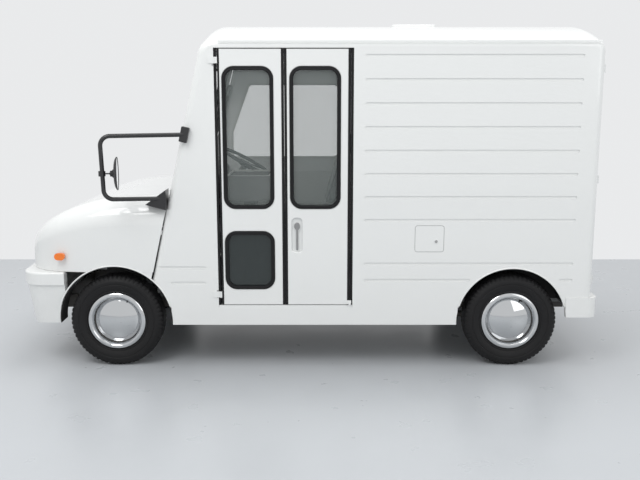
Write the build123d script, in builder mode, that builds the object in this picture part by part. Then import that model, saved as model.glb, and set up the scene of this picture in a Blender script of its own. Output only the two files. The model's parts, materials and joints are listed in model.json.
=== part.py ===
"""Small walk-through mail delivery truck, in millimetres.

+Z is up, the front faces -X, and the driver sits on the +Y side.  The origin is on the
ground under the middle of the truck.  Each function makes one kind of sub-part and writes it.
"""

import os
from math import cos, radians, sin, tan

from build123d import *

# ---- driving dimensions -------------------------------------------------------------
front_overhang = 555
wheelbase = 2250
rear_overhang = 490
overall_width = 1395
rail_z = 1822  # height of the drip rail, where the roof meets the sides
roof_rise = 118  # camber of the roof above the drip rail
tyre_radius = 264
tyre_width = 145
track = 1220
rim_radius = 167
cap_radius = 126
arch_gap_front = 61  # from the tyre to the edge of the front arch
arch_gap_rear = 48
skin = 26  # thickness of the double-skinned body sides
roof_skin = 20
drip_lip = 6
sill_top_z = 350
sill_bottom_z = 248
floor_z = 360  # top of the floor, level with the door sill
floor_thickness = 22
door_length = 757  # length of the folding door's opening
door_front_x_behind_axle = 589
door_top_gap = 35  # from the drip rail down to the folding door's opening
seal_width = 30  # width of the rubber strips between the door leaves
leaf_thickness = 24
screen_rake = 12.93  # lean of the windscreen from the vertical, in degrees
screen_foot_behind_axle = 215.5
screen_foot_z = 524
cowl_z = 985
nose_bow = 38  # how far the bumper stands out in front of the nose
rear_face_inset = 36  # how far the rear bumper stands out behind the body
window_sill_z = 915
window_top_z = 1690
bumper_top_z = 553
bumper_bottom_z = 250
panel_gap = 4
steer_axis_inset = 62  # from the wheel's middle plane in to the kingpin
running_clearance = 0.05
fit_gap = 0.5

# ---- places worked out from them ----------------------------------------------------
overall_length = front_overhang + wheelbase + rear_overhang
nose_tip_x = -overall_length / 2
tail_x = overall_length / 2
front_axle_x = nose_tip_x + front_overhang
rear_axle_x = front_axle_x + wheelbase
axle_z = tyre_radius
side_y = overall_width / 2 - drip_lip
inner_y = side_y - skin
wheel_y = track / 2
body_rear_x = tail_x - rear_face_inset
arch_front_r = tyre_radius + arch_gap_front
arch_rear_r = tyre_radius + arch_gap_rear
door_front_x = front_axle_x + door_front_x_behind_axle
door_rear_x = door_front_x + door_length
door_bottom_z = floor_z + 4
door_top_z = rail_z - door_top_gap
crown_z = rail_z + roof_rise
screen_foot_x = front_axle_x + screen_foot_behind_axle
rake_slope = tan(radians(screen_rake))
nose_face_x = nose_tip_x + nose_bow
nose_foot_z = bumper_top_z + 1
bumper_depth = 120  # from the bumper's face to the back of its middle
bumper_inner_x = nose_tip_x + bumper_depth
kingpin_y = wheel_y - steer_axis_inset
well_inner_y = wheel_y - 215  # the steered front wheels sweep out to here
rear_well_y = wheel_y - tyre_width / 2 - 22


def screen_x(z):
    """Return X of the cab's leaning front plane at height z."""
    return screen_foot_x + (z - screen_foot_z) * rake_slope


def save(piece, node):
    """Label a finished part and write it as one STEP file."""
    piece.label = node
    export_step(piece, f"parts/{node}.step")


# ---- body shell -----------------------------------------------------------------------
def body_block(inset_side, inset_roof, inset_front, inset_rear, bottom):
    """Return the solid block of the box-shaped body, drawn in by the given amounts."""
    half = side_y - inset_side
    rail = rail_z - inset_roof
    crown = crown_z - inset_roof
    rear = body_rear_x - inset_rear
    low_x = screen_x(bottom) + inset_front
    high_x = screen_x(crown) + inset_front
    with BuildPart() as block:
        with BuildSketch(Plane.XZ):
            with BuildLine():
                Polyline((low_x, bottom), (high_x, crown), (rear, crown), (rear, bottom), close=True)
            make_face()
        extrude(amount=half + 1, both=True)
        with BuildSketch(Plane.YZ):
            with BuildLine():
                Polyline((half, rail), (half, bottom), (-half, bottom), (-half, rail))
                ThreePointArc((-half, rail), (0, crown), (half, rail))
            make_face()
        extrude(amount=overall_length, both=True, mode=Mode.INTERSECT)
        top_front = block.edges().filter_by(GeomType.LINE, reverse=True).sort_by(Axis.X)[0]
        fillet(top_front, radius=90 - inset_roof)
        top_rear = block.edges().filter_by(GeomType.LINE, reverse=True).sort_by(Axis.X)[-1]
        fillet(top_rear, radius=60 - inset_roof)
        rear_edges = block.edges().filter_by(Axis.Z).group_by(Axis.X)[-1]
        fillet(rear_edges, radius=40 - min(inset_rear, 20))
    return block.part


def body_shell():
    """Return the hollow body: the block without its cavity, with the wheel arches cut."""
    outside = body_block(0, 0, 0, 0, sill_top_z)
    cavity = body_block(skin, roof_skin, skin, skin, sill_top_z - 1)
    with BuildPart() as shell:
        add(outside)
        add(cavity, mode=Mode.SUBTRACT)
        wells = ((front_axle_x, arch_front_r, well_inner_y), (rear_axle_x, arch_rear_r, rear_well_y))
        for x, radius, inner in wells:
            for side in (-1, 1):
                y0, y1 = side_range(side, inner, overall_width)
                with BuildSketch(Plane.XZ.offset(-y1)):
                    with Locations((x, axle_z)):
                        Circle(radius)
                extrude(amount=y1 - y0, mode=Mode.SUBTRACT)
    return shell.part


def box_between(low, high):
    """Return a box given by two opposite corners."""
    size = [h - l for l, h in zip(low, high)]
    middle = [(h + l) / 2 for l, h in zip(low, high)]
    return Pos(*middle) * Box(*size, mode=Mode.PRIVATE)


def side_range(side, inner, outer):
    """Return the low and high Y of a band at the given distances out, on one side."""
    return sorted((side * inner, side * outer))


def press_beads(piece, side, spans):
    """Return a side panel with shallow pressed beads along the given (x0, x1, z) spans."""
    bead_width = 16
    bead_depth = 5
    with BuildPart() as pressed:
        add(piece)
        for x0, x1, z in spans:
            with BuildSketch(Plane.XZ.offset(-side * side_y)):
                with Locations(((x0 + x1) / 2, z)):
                    SlotOverall(x1 - x0, bead_width)
            extrude(amount=bead_depth, both=True, mode=Mode.SUBTRACT)
    return pressed.part


bead_pitch = 128
bead_top_z = rail_z - 76
bead_start_x = door_rear_x + 64
bead_end_x = body_rear_x - 118


def cargo_beads():
    """Return the bead spans of a cargo side: eight even rows, then two low ones at the arch."""
    rows = [(bead_start_x, bead_end_x, bead_top_z - i * bead_pitch) for i in range(8)]
    arch_rise = 338
    rows.append((bead_start_x, bead_end_x, axle_z + arch_rise))
    low_z = axle_z + arch_rise - 94
    reach = (arch_rear_r**2 - (low_z - axle_z) ** 2) ** 0.5
    rows.append((bead_start_x, rear_axle_x - reach - 48, low_z))
    rows.append((rear_axle_x + reach + 68, bead_end_x, low_z))
    return rows


flap_x0 = door_rear_x + 347
flap_z0 = 671
flap_width = 163
flap_height = 150
flap_thickness = 4


def side_piece(shell, side, low, high):
    """Return the part of one body side that lies between two (x, z) corners."""
    y0, y1 = side_range(side, inner_y, side_y + 1)
    with BuildPart() as piece:
        add(shell)
        add(box_between((low[0], y0, low[1]), (high[0], y1, high[1])), mode=Mode.INTERSECT)
    return piece.part


def make_left_side(shell):
    """Make the left cab corner with the door's hinges, and the cargo side with its header."""
    side = -1
    cab = side_piece(shell, side, (nose_tip_x, sill_top_z), (door_front_x, rail_z))
    spans = [
        (front_axle_x + 249, front_axle_x + 521, axle_z + 316),
        (front_axle_x + 322, front_axle_x + 519, axle_z + 228),
    ]
    with BuildPart() as hinges:
        for z in (leaf_low_z + 42, leaf_high_z - 76):
            with BuildSketch(Plane.XY.offset(z)):
                with Locations((hinge_front_x, leaf_y - 6.5)):
                    Circle(6)
            extrude(amount=34)
            add(box_between((door_front_x - 30, leaf_y - 5, z), (hinge_front_x - 3, leaf_y, z + 34)))
    save(press_beads(cab, side, spans) + hinges.part, "left_cab_panel")
    cargo = side_piece(shell, side, (door_rear_x, sill_top_z), (tail_x, rail_z))
    header = side_piece(shell, side, (door_front_x, door_top_z), (door_rear_x, rail_z))
    cargo = press_beads(cargo, side, cargo_beads())
    flap_middle = (flap_x0 + flap_width / 2, flap_z0 + flap_height / 2)
    neck_radius = 34
    with BuildPart() as cut:
        add(cargo)
        add(header)
        with BuildSketch(Plane.XZ.offset(side_y)):
            with Locations(flap_middle):
                RectangleRounded(flap_width, flap_height, 14)
        extrude(amount=-flap_thickness - 1, mode=Mode.SUBTRACT)
        with BuildSketch(Plane.XZ.offset(side_y)):
            with Locations(flap_middle):
                RectangleRounded(flap_width - 24, flap_height - 24, 10)
        extrude(amount=-skin + 6, mode=Mode.SUBTRACT)
        with BuildSketch(Plane.XZ.offset(side_y - skin + 6)):
            with Locations(flap_middle):
                Circle(neck_radius)
        extrude(amount=skin - 6 - flap_thickness - 3)
    save(cut.part, "left_cargo_panel")


def make_right_side(shell):
    """Make the right body side in one piece, with the driver's door opening cut out of it."""
    side = 1
    whole = side_piece(shell, side, (nose_tip_x, sill_top_z), (tail_x, rail_z))
    opening = driver_door_outline(-panel_gap)
    with BuildPart() as panel:
        add(whole)
        with BuildSketch(Plane.XZ):
            add(opening)
        extrude(amount=-overall_width, mode=Mode.SUBTRACT)
    save(press_beads(panel.part, side, cargo_beads()), "right_body_side")


def make_roof(shell):
    """Make the cambered roof, its low vent and the drip rails along its edges."""
    with BuildPart() as roof:
        add(shell)
        add(box_between((nose_tip_x, -side_y - 1, rail_z), (tail_x, side_y + 1, crown_z + 1)),
            mode=Mode.INTERSECT)
    vent_length = 257
    vent_rise = 9
    vent_x = door_rear_x + 379
    outside = body_block(0, 0, 0, 0, sill_top_z)
    with BuildPart() as vent:
        with BuildSketch(Plane.XY.offset(crown_z - roof_skin / 2)):
            with Locations((vent_x, 0)):
                RectangleRounded(vent_length, 300, 24)
        extrude(amount=roof_skin / 2 + vent_rise)
        add(outside, mode=Mode.SUBTRACT)
        fillet(vent.edges().group_by(Axis.Z)[-1], radius=3)
    save(vent.part, "roof_vent")
    rail_front = screen_x(rail_z) + 100
    with BuildPart() as rails:
        for side in (-1, 1):
            y0, y1 = side_range(side, side_y, side_y + drip_lip)
            add(box_between((rail_front, y0, rail_z - 6), (body_rear_x - 30, y1, rail_z + 5)))
        fillet(rails.edges().filter_by(Axis.X).group_by(Axis.Z)[-1], radius=2)
    save(roof.part + rails.part, "roof_panel")


glass_low_z = cowl_z + 95
glass_high_z = rail_z - 120
screen_half = 560


def on_screen():
    """Return the plane of the cab's leaning front, centred on the glass, facing forwards."""
    low = screen_x(glass_low_z)
    high = screen_x(glass_high_z)
    middle = ((low + high) / 2, 0, (glass_low_z + glass_high_z) / 2)
    lean = Vector(high - low, 0, glass_high_z - glass_low_z).normalized()
    outward = Vector(-lean.Z, 0, lean.X)
    return Plane(origin=middle, x_dir=(0, -1, 0), z_dir=outward)


def make_cab_front(shell, cowl):
    """Make the windscreen frame with its firewall and cowl, the body's rubber seals and the glass."""
    low_z = floor_z + 1
    glass_height = (glass_high_z - glass_low_z) / cos(radians(screen_rake))
    with BuildPart() as frame:
        add(shell)
        add(box_between((nose_tip_x, -inner_y, low_z), (screen_x(rail_z) + 60, inner_y, rail_z)),
            mode=Mode.INTERSECT)
        with BuildSketch(on_screen()):
            RectangleRounded(2 * screen_half, glass_height, 90)
        extrude(amount=3 * skin, both=True, mode=Mode.SUBTRACT)
    save(frame.part + cowl, "windscreen_frame")
    seal_lap = 16
    sight_width = 2 * (screen_half - seal_lap)
    sight_height = glass_height - 2 * seal_lap
    with BuildPart() as seal:
        with BuildSketch(on_screen()):
            RectangleRounded(2 * screen_half - fit_gap, glass_height - fit_gap, 90)
            RectangleRounded(sight_width, sight_height, 74, mode=Mode.SUBTRACT)
        extrude(amount=-20)
        with BuildSketch(on_screen()):
            RectangleRounded(2 * screen_half + 20, glass_height + 20, 100)
            RectangleRounded(sight_width, sight_height, 74, mode=Mode.SUBTRACT)
        extrude(amount=5)
    save(seal.part + door_frame_rubbers(), "body_rubber_seals")
    with BuildPart() as glass:
        with BuildSketch(on_screen().offset(-6)):
            RectangleRounded(sight_width - 2 * fit_gap, sight_height - 2 * fit_gap, 74 - fit_gap)
        extrude(amount=-6)
    save(glass.part, "windscreen_glass")


# ---- folding door on the left --------------------------------------------------------
half_seal = seal_width / 2
hinge_front_x = door_front_x + half_seal
leaf_span = (door_length - 2 * half_seal) / 2
hinge_mid_x = hinge_front_x + leaf_span
roller_x = hinge_mid_x + leaf_span
leaf_low_z = door_bottom_z + 4
leaf_high_z = door_top_z - 6
leaf_y = -side_y
leaf_inner_y = leaf_y + leaf_thickness
window_width = 278
window_corner = 65
low_window_z0 = 457
low_window_z1 = 789
gasket = 20


def leaf_window_x(front):
    """Return the middle X of the window in the front or the rear leaf."""
    return hinge_front_x + 166 if front else hinge_mid_x + 169


def window_cut(middle_x, low_z, high_z, shrink):
    """Sketch a rounded window opening, smaller by shrink all round."""
    with Locations((middle_x, (low_z + high_z) / 2)):
        RectangleRounded(
            window_width - 2 * shrink, high_z - low_z - 2 * shrink, window_corner - shrink
        )


def make_leaf(front):
    """Make one leaf of the folding door with its glass, window gasket and edge rubbers."""
    name = "front_leaf" if front else "rear_leaf"
    start = hinge_front_x + half_seal if front else hinge_mid_x + half_seal
    end = hinge_mid_x - half_seal if front else roller_x - half_seal
    windows = [(window_sill_z, window_top_z)]
    if front:
        windows.append((low_window_z0, low_window_z1))
    middle = leaf_window_x(front)
    outer_plane = Plane.XZ.offset(side_y)
    with BuildPart() as leaf:
        add(box_between((start, leaf_y, leaf_low_z), (end, leaf_inner_y, leaf_high_z)))
        with BuildSketch(outer_plane):
            for low, high in windows:
                window_cut(middle, low, high, 0)
            if not front:
                with Locations((handle_x, handle_z - 50)):
                    RectangleRounded(60, 195, 24)
        extrude(amount=-leaf_thickness / 2, mode=Mode.SUBTRACT)
        with BuildSketch(outer_plane):
            for low, high in windows:
                window_cut(middle, low, high, 0)
        extrude(amount=-leaf_thickness - 1, mode=Mode.SUBTRACT)
        outer_edges = leaf.edges().filter_by(Axis.Z).group_by(Axis.Y)[0]
        fillet(outer_edges, radius=4)
    save(leaf.part if front else leaf.part + roller_foot(), f"{name}_panel")
    with BuildPart() as seal:
        with BuildSketch(outer_plane.offset(3)):
            for low, high in windows:
                window_cut(middle, low, high, fit_gap / 2)
            for low, high in windows:
                with Locations((middle, (low + high) / 2)):
                    RectangleRounded(
                        window_width - 2 * gasket,
                        high - low - 2 * gasket,
                        window_corner - gasket,
                        mode=Mode.SUBTRACT,
                    )
        extrude(amount=-leaf_thickness - 3)
    with BuildPart() as glass:
        with BuildSketch(outer_plane.offset(-9)):
            for low, high in windows:
                window_cut(middle, low, high, gasket + fit_gap)
        extrude(amount=-5)
    save(glass.part, f"{name}_glass")
    strip_gap = 1.5
    with BuildPart() as strips:
        for x0, x1 in edge_strips(front, strip_gap, start, end):
            add(box_between((x0, leaf_y + 3, leaf_low_z), (x1, leaf_inner_y - 8, leaf_high_z)))
    save(seal.part + strips.part, f"{name}_rubbers")


def edge_strips(front, strip_gap, start, end):
    """Return the X spans of the rubber strips fixed to a leaf's two upright edges."""
    if front:
        return ((start - half_seal + 5, start), (end, end + half_seal - strip_gap))
    return ((start - half_seal + strip_gap, start), (end, end + half_seal - strip_gap))


handle_x = hinge_mid_x + 67
handle_z = 816


def make_folding_door():
    """Make both leaves of the folding door and the lever handle of the rear one."""
    make_leaf(True)
    make_leaf(False)
    pocket_y = leaf_y + leaf_thickness / 2
    with BuildPart() as lever:
        with BuildSketch(Plane.XZ.offset(-(pocket_y - 2))):
            with Locations((handle_x, handle_z)):
                Ellipse(16, 21)
            with Locations((handle_x, handle_z - 72)):
                RectangleRounded(11, 128, 5)
        extrude(amount=8)
        fillet(lever.faces().sort_by(Axis.Y)[0].edges(), radius=2)
    save(lever.part, "door_lever")


def roller_foot():
    """Return the bracket and roller that guide the rear leaf's free edge along the sill."""
    with BuildPart() as foot:
        add(box_between((roller_x - 32, leaf_y - 4, leaf_low_z + 2),
                        (roller_x + 8, leaf_y, leaf_low_z + 24)))
        with BuildSketch(Plane.XY.offset(door_bottom_z + 0.5)):
            with Locations((roller_x, leaf_y - 4)):
                Circle(7)
        extrude(amount=leaf_low_z - door_bottom_z + 10)
    return foot.part


def door_frame_rubbers():
    """Return the rubber strips on the front and rear posts of the folding door's opening."""
    depth = leaf_y + skin
    with BuildPart() as rubbers:
        add(box_between((door_front_x + 1, leaf_y + 5, door_bottom_z + 1),
                        (hinge_front_x - 3, depth, door_top_z - 1)))
        add(box_between((door_rear_x - 12, leaf_y + 5, door_bottom_z + 1),
                        (door_rear_x - 1, depth, door_top_z - 1)))
    return rubbers.part


# ---- driver's door on the right ------------------------------------------------------
driver_door_front_x = front_axle_x + 432
driver_door_top_z = rail_z - 70
driver_door_x = driver_door_front_x - 20
driver_window_low = 1083
trim_thickness = 12


def driver_door_outline(shrink):
    """Return the driver's door outline as a face, smaller by shrink all round."""
    front = driver_door_front_x + shrink
    top = driver_door_top_z - shrink
    rear = door_rear_x - shrink - panel_gap
    low = door_bottom_z + 4 + max(shrink, 0)
    knee_z = 1240
    lean = (top - knee_z) * 0.26
    with BuildSketch(mode=Mode.PRIVATE) as outline:
        with BuildLine():
            Polyline(
                (front, low), (front, knee_z), (front + lean, top), (rear, top), (rear, low), close=True
            )
        make_face()
        fillet(outline.vertices(), radius=24)
    return outline.sketch


def driver_window(shrink):
    """Return the driver's window outline, whose front edge leans with the pillar."""
    front = driver_door_front_x + 96 + shrink
    rear = door_rear_x - 44 - shrink
    low = driver_window_low + shrink
    top = driver_door_top_z - 138 - shrink
    knee_z = 1267
    with BuildSketch(mode=Mode.PRIVATE) as outline:
        with BuildLine():
            Polyline(
                (front, low), (front, knee_z), (front + 122, top), (rear, top), (rear, low), close=True
            )
        make_face()
        fillet(outline.vertices(), radius=40 - shrink)
    return outline.sketch


def make_driver_door():
    """Make the hinged driver's door with its glass, gasket, inner trim and outside handle."""
    plane = Plane.XZ.offset(-side_y)
    with BuildPart() as panel:
        with BuildSketch(plane):
            add(driver_door_outline(0))
            add(driver_window(0), mode=Mode.SUBTRACT)
        extrude(amount=leaf_thickness)
    with BuildPart() as seal:
        with BuildSketch(plane.offset(-3)):
            add(driver_window(fit_gap / 2))
            add(driver_window(16), mode=Mode.SUBTRACT)
        extrude(amount=leaf_thickness + 6)
    with BuildPart() as glass:
        with BuildSketch(plane.offset(10)):
            add(driver_window(16.5))
        extrude(amount=5)
    save(glass.part, "driver_window_glass")
    with BuildPart() as trim:
        trim_y = side_y - leaf_thickness
        add(box_between((driver_door_front_x + 40, trim_y - trim_thickness, door_bottom_z + 40),
                        (door_rear_x - 40, trim_y, driver_window_low - 90)))
        fillet(trim.edges().filter_by(Axis.Y), radius=20)
    save(trim.part + seal.part, "driver_door_trim")
    with BuildPart() as handle:
        with Locations((door_rear_x - 110, side_y + 10, driver_window_low - 120)):
            Box(120, 14, 24)
        fillet(handle.edges().filter_by(Axis.X), radius=5)
        for end in (-46, 46):
            with Locations((door_rear_x - 110 + end, side_y + 1.5, driver_window_low - 120)):
                Box(16, 3, 16)
    save(panel.part + handle.part, "driver_door_panel")


# ---- rear doors -----------------------------------------------------------------------
rear_low_z = floor_z + 52
rear_high_z = rail_z - 84
rear_half = inner_y - 22
door_depth = 24
rear_hinge_y = rear_half - 2
rear_hinge_x = body_rear_x + 7


def make_rear(shell):
    """Make the rear frame with its hinges, the two rear doors and their lever."""
    with BuildPart() as frame:
        add(shell)
        add(box_between((body_rear_x - skin - 1, -inner_y, sill_top_z), (tail_x, inner_y, rail_z)),
            mode=Mode.INTERSECT)
        add(box_between((body_rear_x - 2 * skin, -rear_half, rear_low_z), (tail_x, rear_half, rear_high_z)),
            mode=Mode.SUBTRACT)
    save(frame.part, "rear_door_frame")
    middle_gap = 3
    for side, name in ((-1, "left"), (1, "right")):
        y0, y1 = side_range(side, middle_gap / 2, rear_half - panel_gap)
        with BuildPart() as door:
            add(box_between((body_rear_x - door_depth, y0, rear_low_z + panel_gap),
                            (body_rear_x, y1, rear_high_z - panel_gap)))
            with BuildSketch(Plane.YZ.offset(body_rear_x)):
                with GridLocations(0, 2 * bead_pitch, 1, 5):
                    with Locations(((y0 + y1) / 2, (rear_low_z + rear_high_z) / 2)):
                        SlotOverall(y1 - y0 - 120, 16)
            extrude(amount=-4, mode=Mode.SUBTRACT)
            fillet(door.edges().filter_by(Axis.Z).group_by(Axis.X)[-1], radius=4)
        save(door.part, f"{name}_rear_door")
    with BuildPart() as hinges:
        for side in (-1, 1):
            for z in (rear_low_z + 90, (rear_low_z + rear_high_z) / 2, rear_high_z - 60):
                with BuildSketch(Plane.XY.offset(z - 22)):
                    with Locations((rear_hinge_x, side * rear_hinge_y)):
                        Circle(6.5)
                extrude(amount=44)
                y0, y1 = side_range(side, rear_hinge_y + 4, rear_half + 14)
                add(box_between((body_rear_x, y0, z - 22), (body_rear_x + 5, y1, z + 22)))
    save(frame.part + hinges.part, "rear_door_frame")
    with BuildPart() as handle:
        with BuildSketch(Plane.YZ.offset(body_rear_x + 0.5)):
            with Locations((60, rear_handle_z)):
                Circle(17)
        extrude(amount=15)
        with BuildSketch(Plane.YZ.offset(body_rear_x + 10)):
            with Locations((60, rear_handle_z - 45)):
                RectangleRounded(18, 110, 8)
        extrude(amount=8)
    save(handle.part, "rear_door_lever")


rear_handle_z = 1000


# ---- nose -----------------------------------------------------------------------------
# Each station is (distance behind the nose face, half width, top height, corner radius).
nose_stations = (
    (0, side_y - 226, nose_foot_z + 128, 52),
    (26, side_y - 158, nose_foot_z + 182, 72),
    (80, side_y - 92, nose_foot_z + 243, 92),
    (180, side_y - 36, nose_foot_z + 310, 112),
    (320, side_y - 9, nose_foot_z + 369, 132),
    (500, side_y, nose_foot_z + 407, 146),
    (740, side_y, cowl_z - 8, 156),
    (front_overhang - nose_bow + 370, side_y, cowl_z, 160),
)


def nose_block(inset):
    """Return the rounded nose as a solid, drawn in by inset on its sides and top."""
    with BuildPart() as block:
        for back, half, top, corner in nose_stations:
            low = nose_foot_z
            height = top - inset - low
            radius = corner - inset * 0.6
            x = nose_face_x + back + (inset if back == 0 else 0)
            width = half - inset
            with BuildSketch(Plane.YZ.offset(x)):
                with BuildLine():
                    Polyline((-width, low + height - radius), (-width, low), (width, low),
                             (width, low + height - radius))
                    RadiusArc((width, low + height - radius), (width - radius, low + height), -radius)
                    Line((width - radius, low + height), (radius - width, low + height))
                    RadiusArc((radius - width, low + height), (-width, low + height - radius), -radius)
                make_face()
        loft()
    return block.part


bonnet_half = side_y - 190
bonnet_front_x = nose_face_x + 62
bonnet_low_z = nose_foot_z + 205
bonnet_hinge_x = screen_x(cowl_z) - 44
nose_skin = 14


def nose_shell():
    """Return the hollow nose, cut off at the cab's leaning front and by the wheel arches."""
    outside = nose_block(0)
    cavity = nose_block(nose_skin)
    with BuildPart() as shell:
        add(outside)
        add(cavity, mode=Mode.SUBTRACT)
        with BuildSketch(Plane.XZ):
            with BuildLine():
                Polyline(
                    (screen_x(nose_foot_z - 50) - 0.5, nose_foot_z - 50),
                    (screen_x(cowl_z + 50) - 0.5, cowl_z + 50),
                    (tail_x, cowl_z + 50),
                    (tail_x, nose_foot_z - 50),
                    close=True,
                )
            make_face()
        extrude(amount=overall_width, both=True, mode=Mode.SUBTRACT)
        with BuildSketch(Plane.XZ):
            with Locations((front_axle_x, axle_z)):
                Circle(arch_front_r)
        extrude(amount=overall_width, both=True, mode=Mode.SUBTRACT)
    return shell.part


def fender_corner(side):
    """Return the low rear corner of a fender, between the wheel arch and the cab's seam."""
    high = nose_foot_z + 2
    low = screen_foot_z - 24
    front = front_axle_x + 120
    y0, y1 = side_range(side, side_y - nose_skin, side_y)
    with BuildPart() as corner:
        with BuildSketch(Plane.XZ.offset(-y1)):
            with BuildLine():
                Polyline((front, high), (screen_x(high) - panel_gap, high),
                         (screen_x(low) - panel_gap, low), (front, low), close=True)
            make_face()
            with Locations((front_axle_x, axle_z)):
                Circle(arch_front_r, mode=Mode.SUBTRACT)
        extrude(amount=y1 - y0)
    return corner.part


def make_nose():
    """Make the bonnet, the two fenders and the front panel with its grille; return the cowl."""
    shell = nose_shell()
    bonnet_box = box_between(
        (bonnet_front_x, -bonnet_half, bonnet_low_z), (bonnet_hinge_x, bonnet_half, cowl_z + 60)
    )
    gap_box = box_between(
        (bonnet_front_x - panel_gap, -bonnet_half - panel_gap, bonnet_low_z - panel_gap),
        (bonnet_hinge_x + panel_gap, bonnet_half + panel_gap, cowl_z + 60),
    )
    with BuildPart() as bonnet:
        add(shell)
        add(bonnet_box, mode=Mode.INTERSECT)
    save(bonnet.part, "bonnet")
    fender_inner = side_y - 186
    for side, name in ((-1, "left"), (1, "right")):
        y0, y1 = side_range(side, fender_inner, overall_width)
        with BuildPart() as fender:
            add(shell)
            add(gap_box, mode=Mode.SUBTRACT)
            add(box_between((nose_tip_x, y0, 0), (0, y1, cowl_z + 60)), mode=Mode.INTERSECT)
            add(fender_corner(side))
        save(fender.part, f"{name}_fender")
    with BuildPart() as panel:
        add(shell)
        add(gap_box, mode=Mode.SUBTRACT)
        add(box_between((nose_tip_x, -fender_inner, 0), (bonnet_front_x + 40, fender_inner, cowl_z)),
            mode=Mode.INTERSECT)
        with BuildSketch(Plane.YZ.offset(nose_face_x)):
            with Locations((0, grille_z)):
                RectangleRounded(grille_width, grille_height, 20)
        extrude(amount=3 * nose_skin, both=True, mode=Mode.SUBTRACT)
    with BuildPart() as cowl:
        add(shell)
        add(gap_box, mode=Mode.SUBTRACT)
        add(box_between((bonnet_hinge_x, -fender_inner, cowl_z - 200), (0, fender_inner, cowl_z + 60)),
            mode=Mode.INTERSECT)
    with BuildPart() as grille:
        with BuildSketch(Plane.YZ.offset(nose_face_x + 3)):
            with Locations((0, grille_z)):
                RectangleRounded(grille_width - 2 * fit_gap, grille_height - 2 * fit_gap, 19)
                RectangleRounded(grille_width - 16, grille_height - 16, 14, mode=Mode.SUBTRACT)
            with GridLocations(0, 13, 1, 4):
                with Locations((0, grille_z)):
                    Rectangle(grille_width - 14, 5)
        extrude(amount=10)
    save(panel.part + grille.part, "front_panel")
    return cowl.part


grille_z = nose_foot_z + 64
grille_width = 360
grille_height = 66
lamp_y = 325
lamp_radius = 62


def make_lamps():
    """Make the headlamps, the side markers, the tail lamps and the number plates."""
    lamp_z = nose_foot_z + 66
    with BuildPart() as lamps:
        for side in (-1, 1):
            with BuildSketch(Plane.YZ.offset(nose_face_x)):
                with Locations((side * lamp_y, lamp_z)):
                    Circle(lamp_radius)
            extrude(amount=-16)
        fillet(lamps.faces().sort_by(Axis.X)[:2].edges(), radius=12)
    save(lamps.part, "headlamps")
    marker_x = front_axle_x - 300
    nose = nose_block(0)
    with BuildPart() as markers:
        for side in (-1, 1):
            base = side_y - 14
            with BuildSketch(Plane.XZ.offset(-side * base)):
                with Locations((marker_x, nose_foot_z + 90)):
                    RectangleRounded(57, 40, 19)
            extrude(amount=-side * 20)
        add(nose, mode=Mode.SUBTRACT)
    save(markers.part, "side_marker_lamps")
    with BuildPart() as tails:
        for side in (-1, 1):
            y0, y1 = side_range(side, tail_lamp_y, tail_lamp_y + tail_lamp_width)
            add(box_between((tail_x - tail_lamp_depth, y0, tail_lamp_z),
                            (tail_x, y1, tail_lamp_z + tail_lamp_height)))
    save(tails.part, "tail_lamps")


tail_lamp_y = 480
tail_lamp_z = 318
tail_lamp_width = 130
tail_lamp_height = 62
tail_lamp_depth = 14


# ---- bumpers, sills and liners --------------------------------------------------------
def bumper_outline(inset, inner):
    """Return the front bumper's plan as a face, drawn in by inset all round the outside."""
    tip = nose_tip_x + inset
    half = side_y + drip_lip - inset
    rear = front_axle_x - arch_front_r + 44
    bow = 20
    corner = 130 - inset
    start = tip + bow + corner
    back = bumper_inner_x
    with BuildSketch(mode=Mode.PRIVATE) as plan:
        with BuildLine():
            Line((rear, -half), (start, -half))
            RadiusArc((start, -half), (tip + bow, corner - half), corner)
            ThreePointArc((tip + bow, corner - half), (tip, 0), (tip + bow, half - corner))
            RadiusArc((tip + bow, half - corner), (start, half), corner)
            Polyline((start, half), (rear, half), (rear, half - inner), (back, half - inner - 60),
                     (back, inner + 60 - half), (rear, inner - half), (rear, -half))
        make_face()
    return plan.sketch


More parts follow.
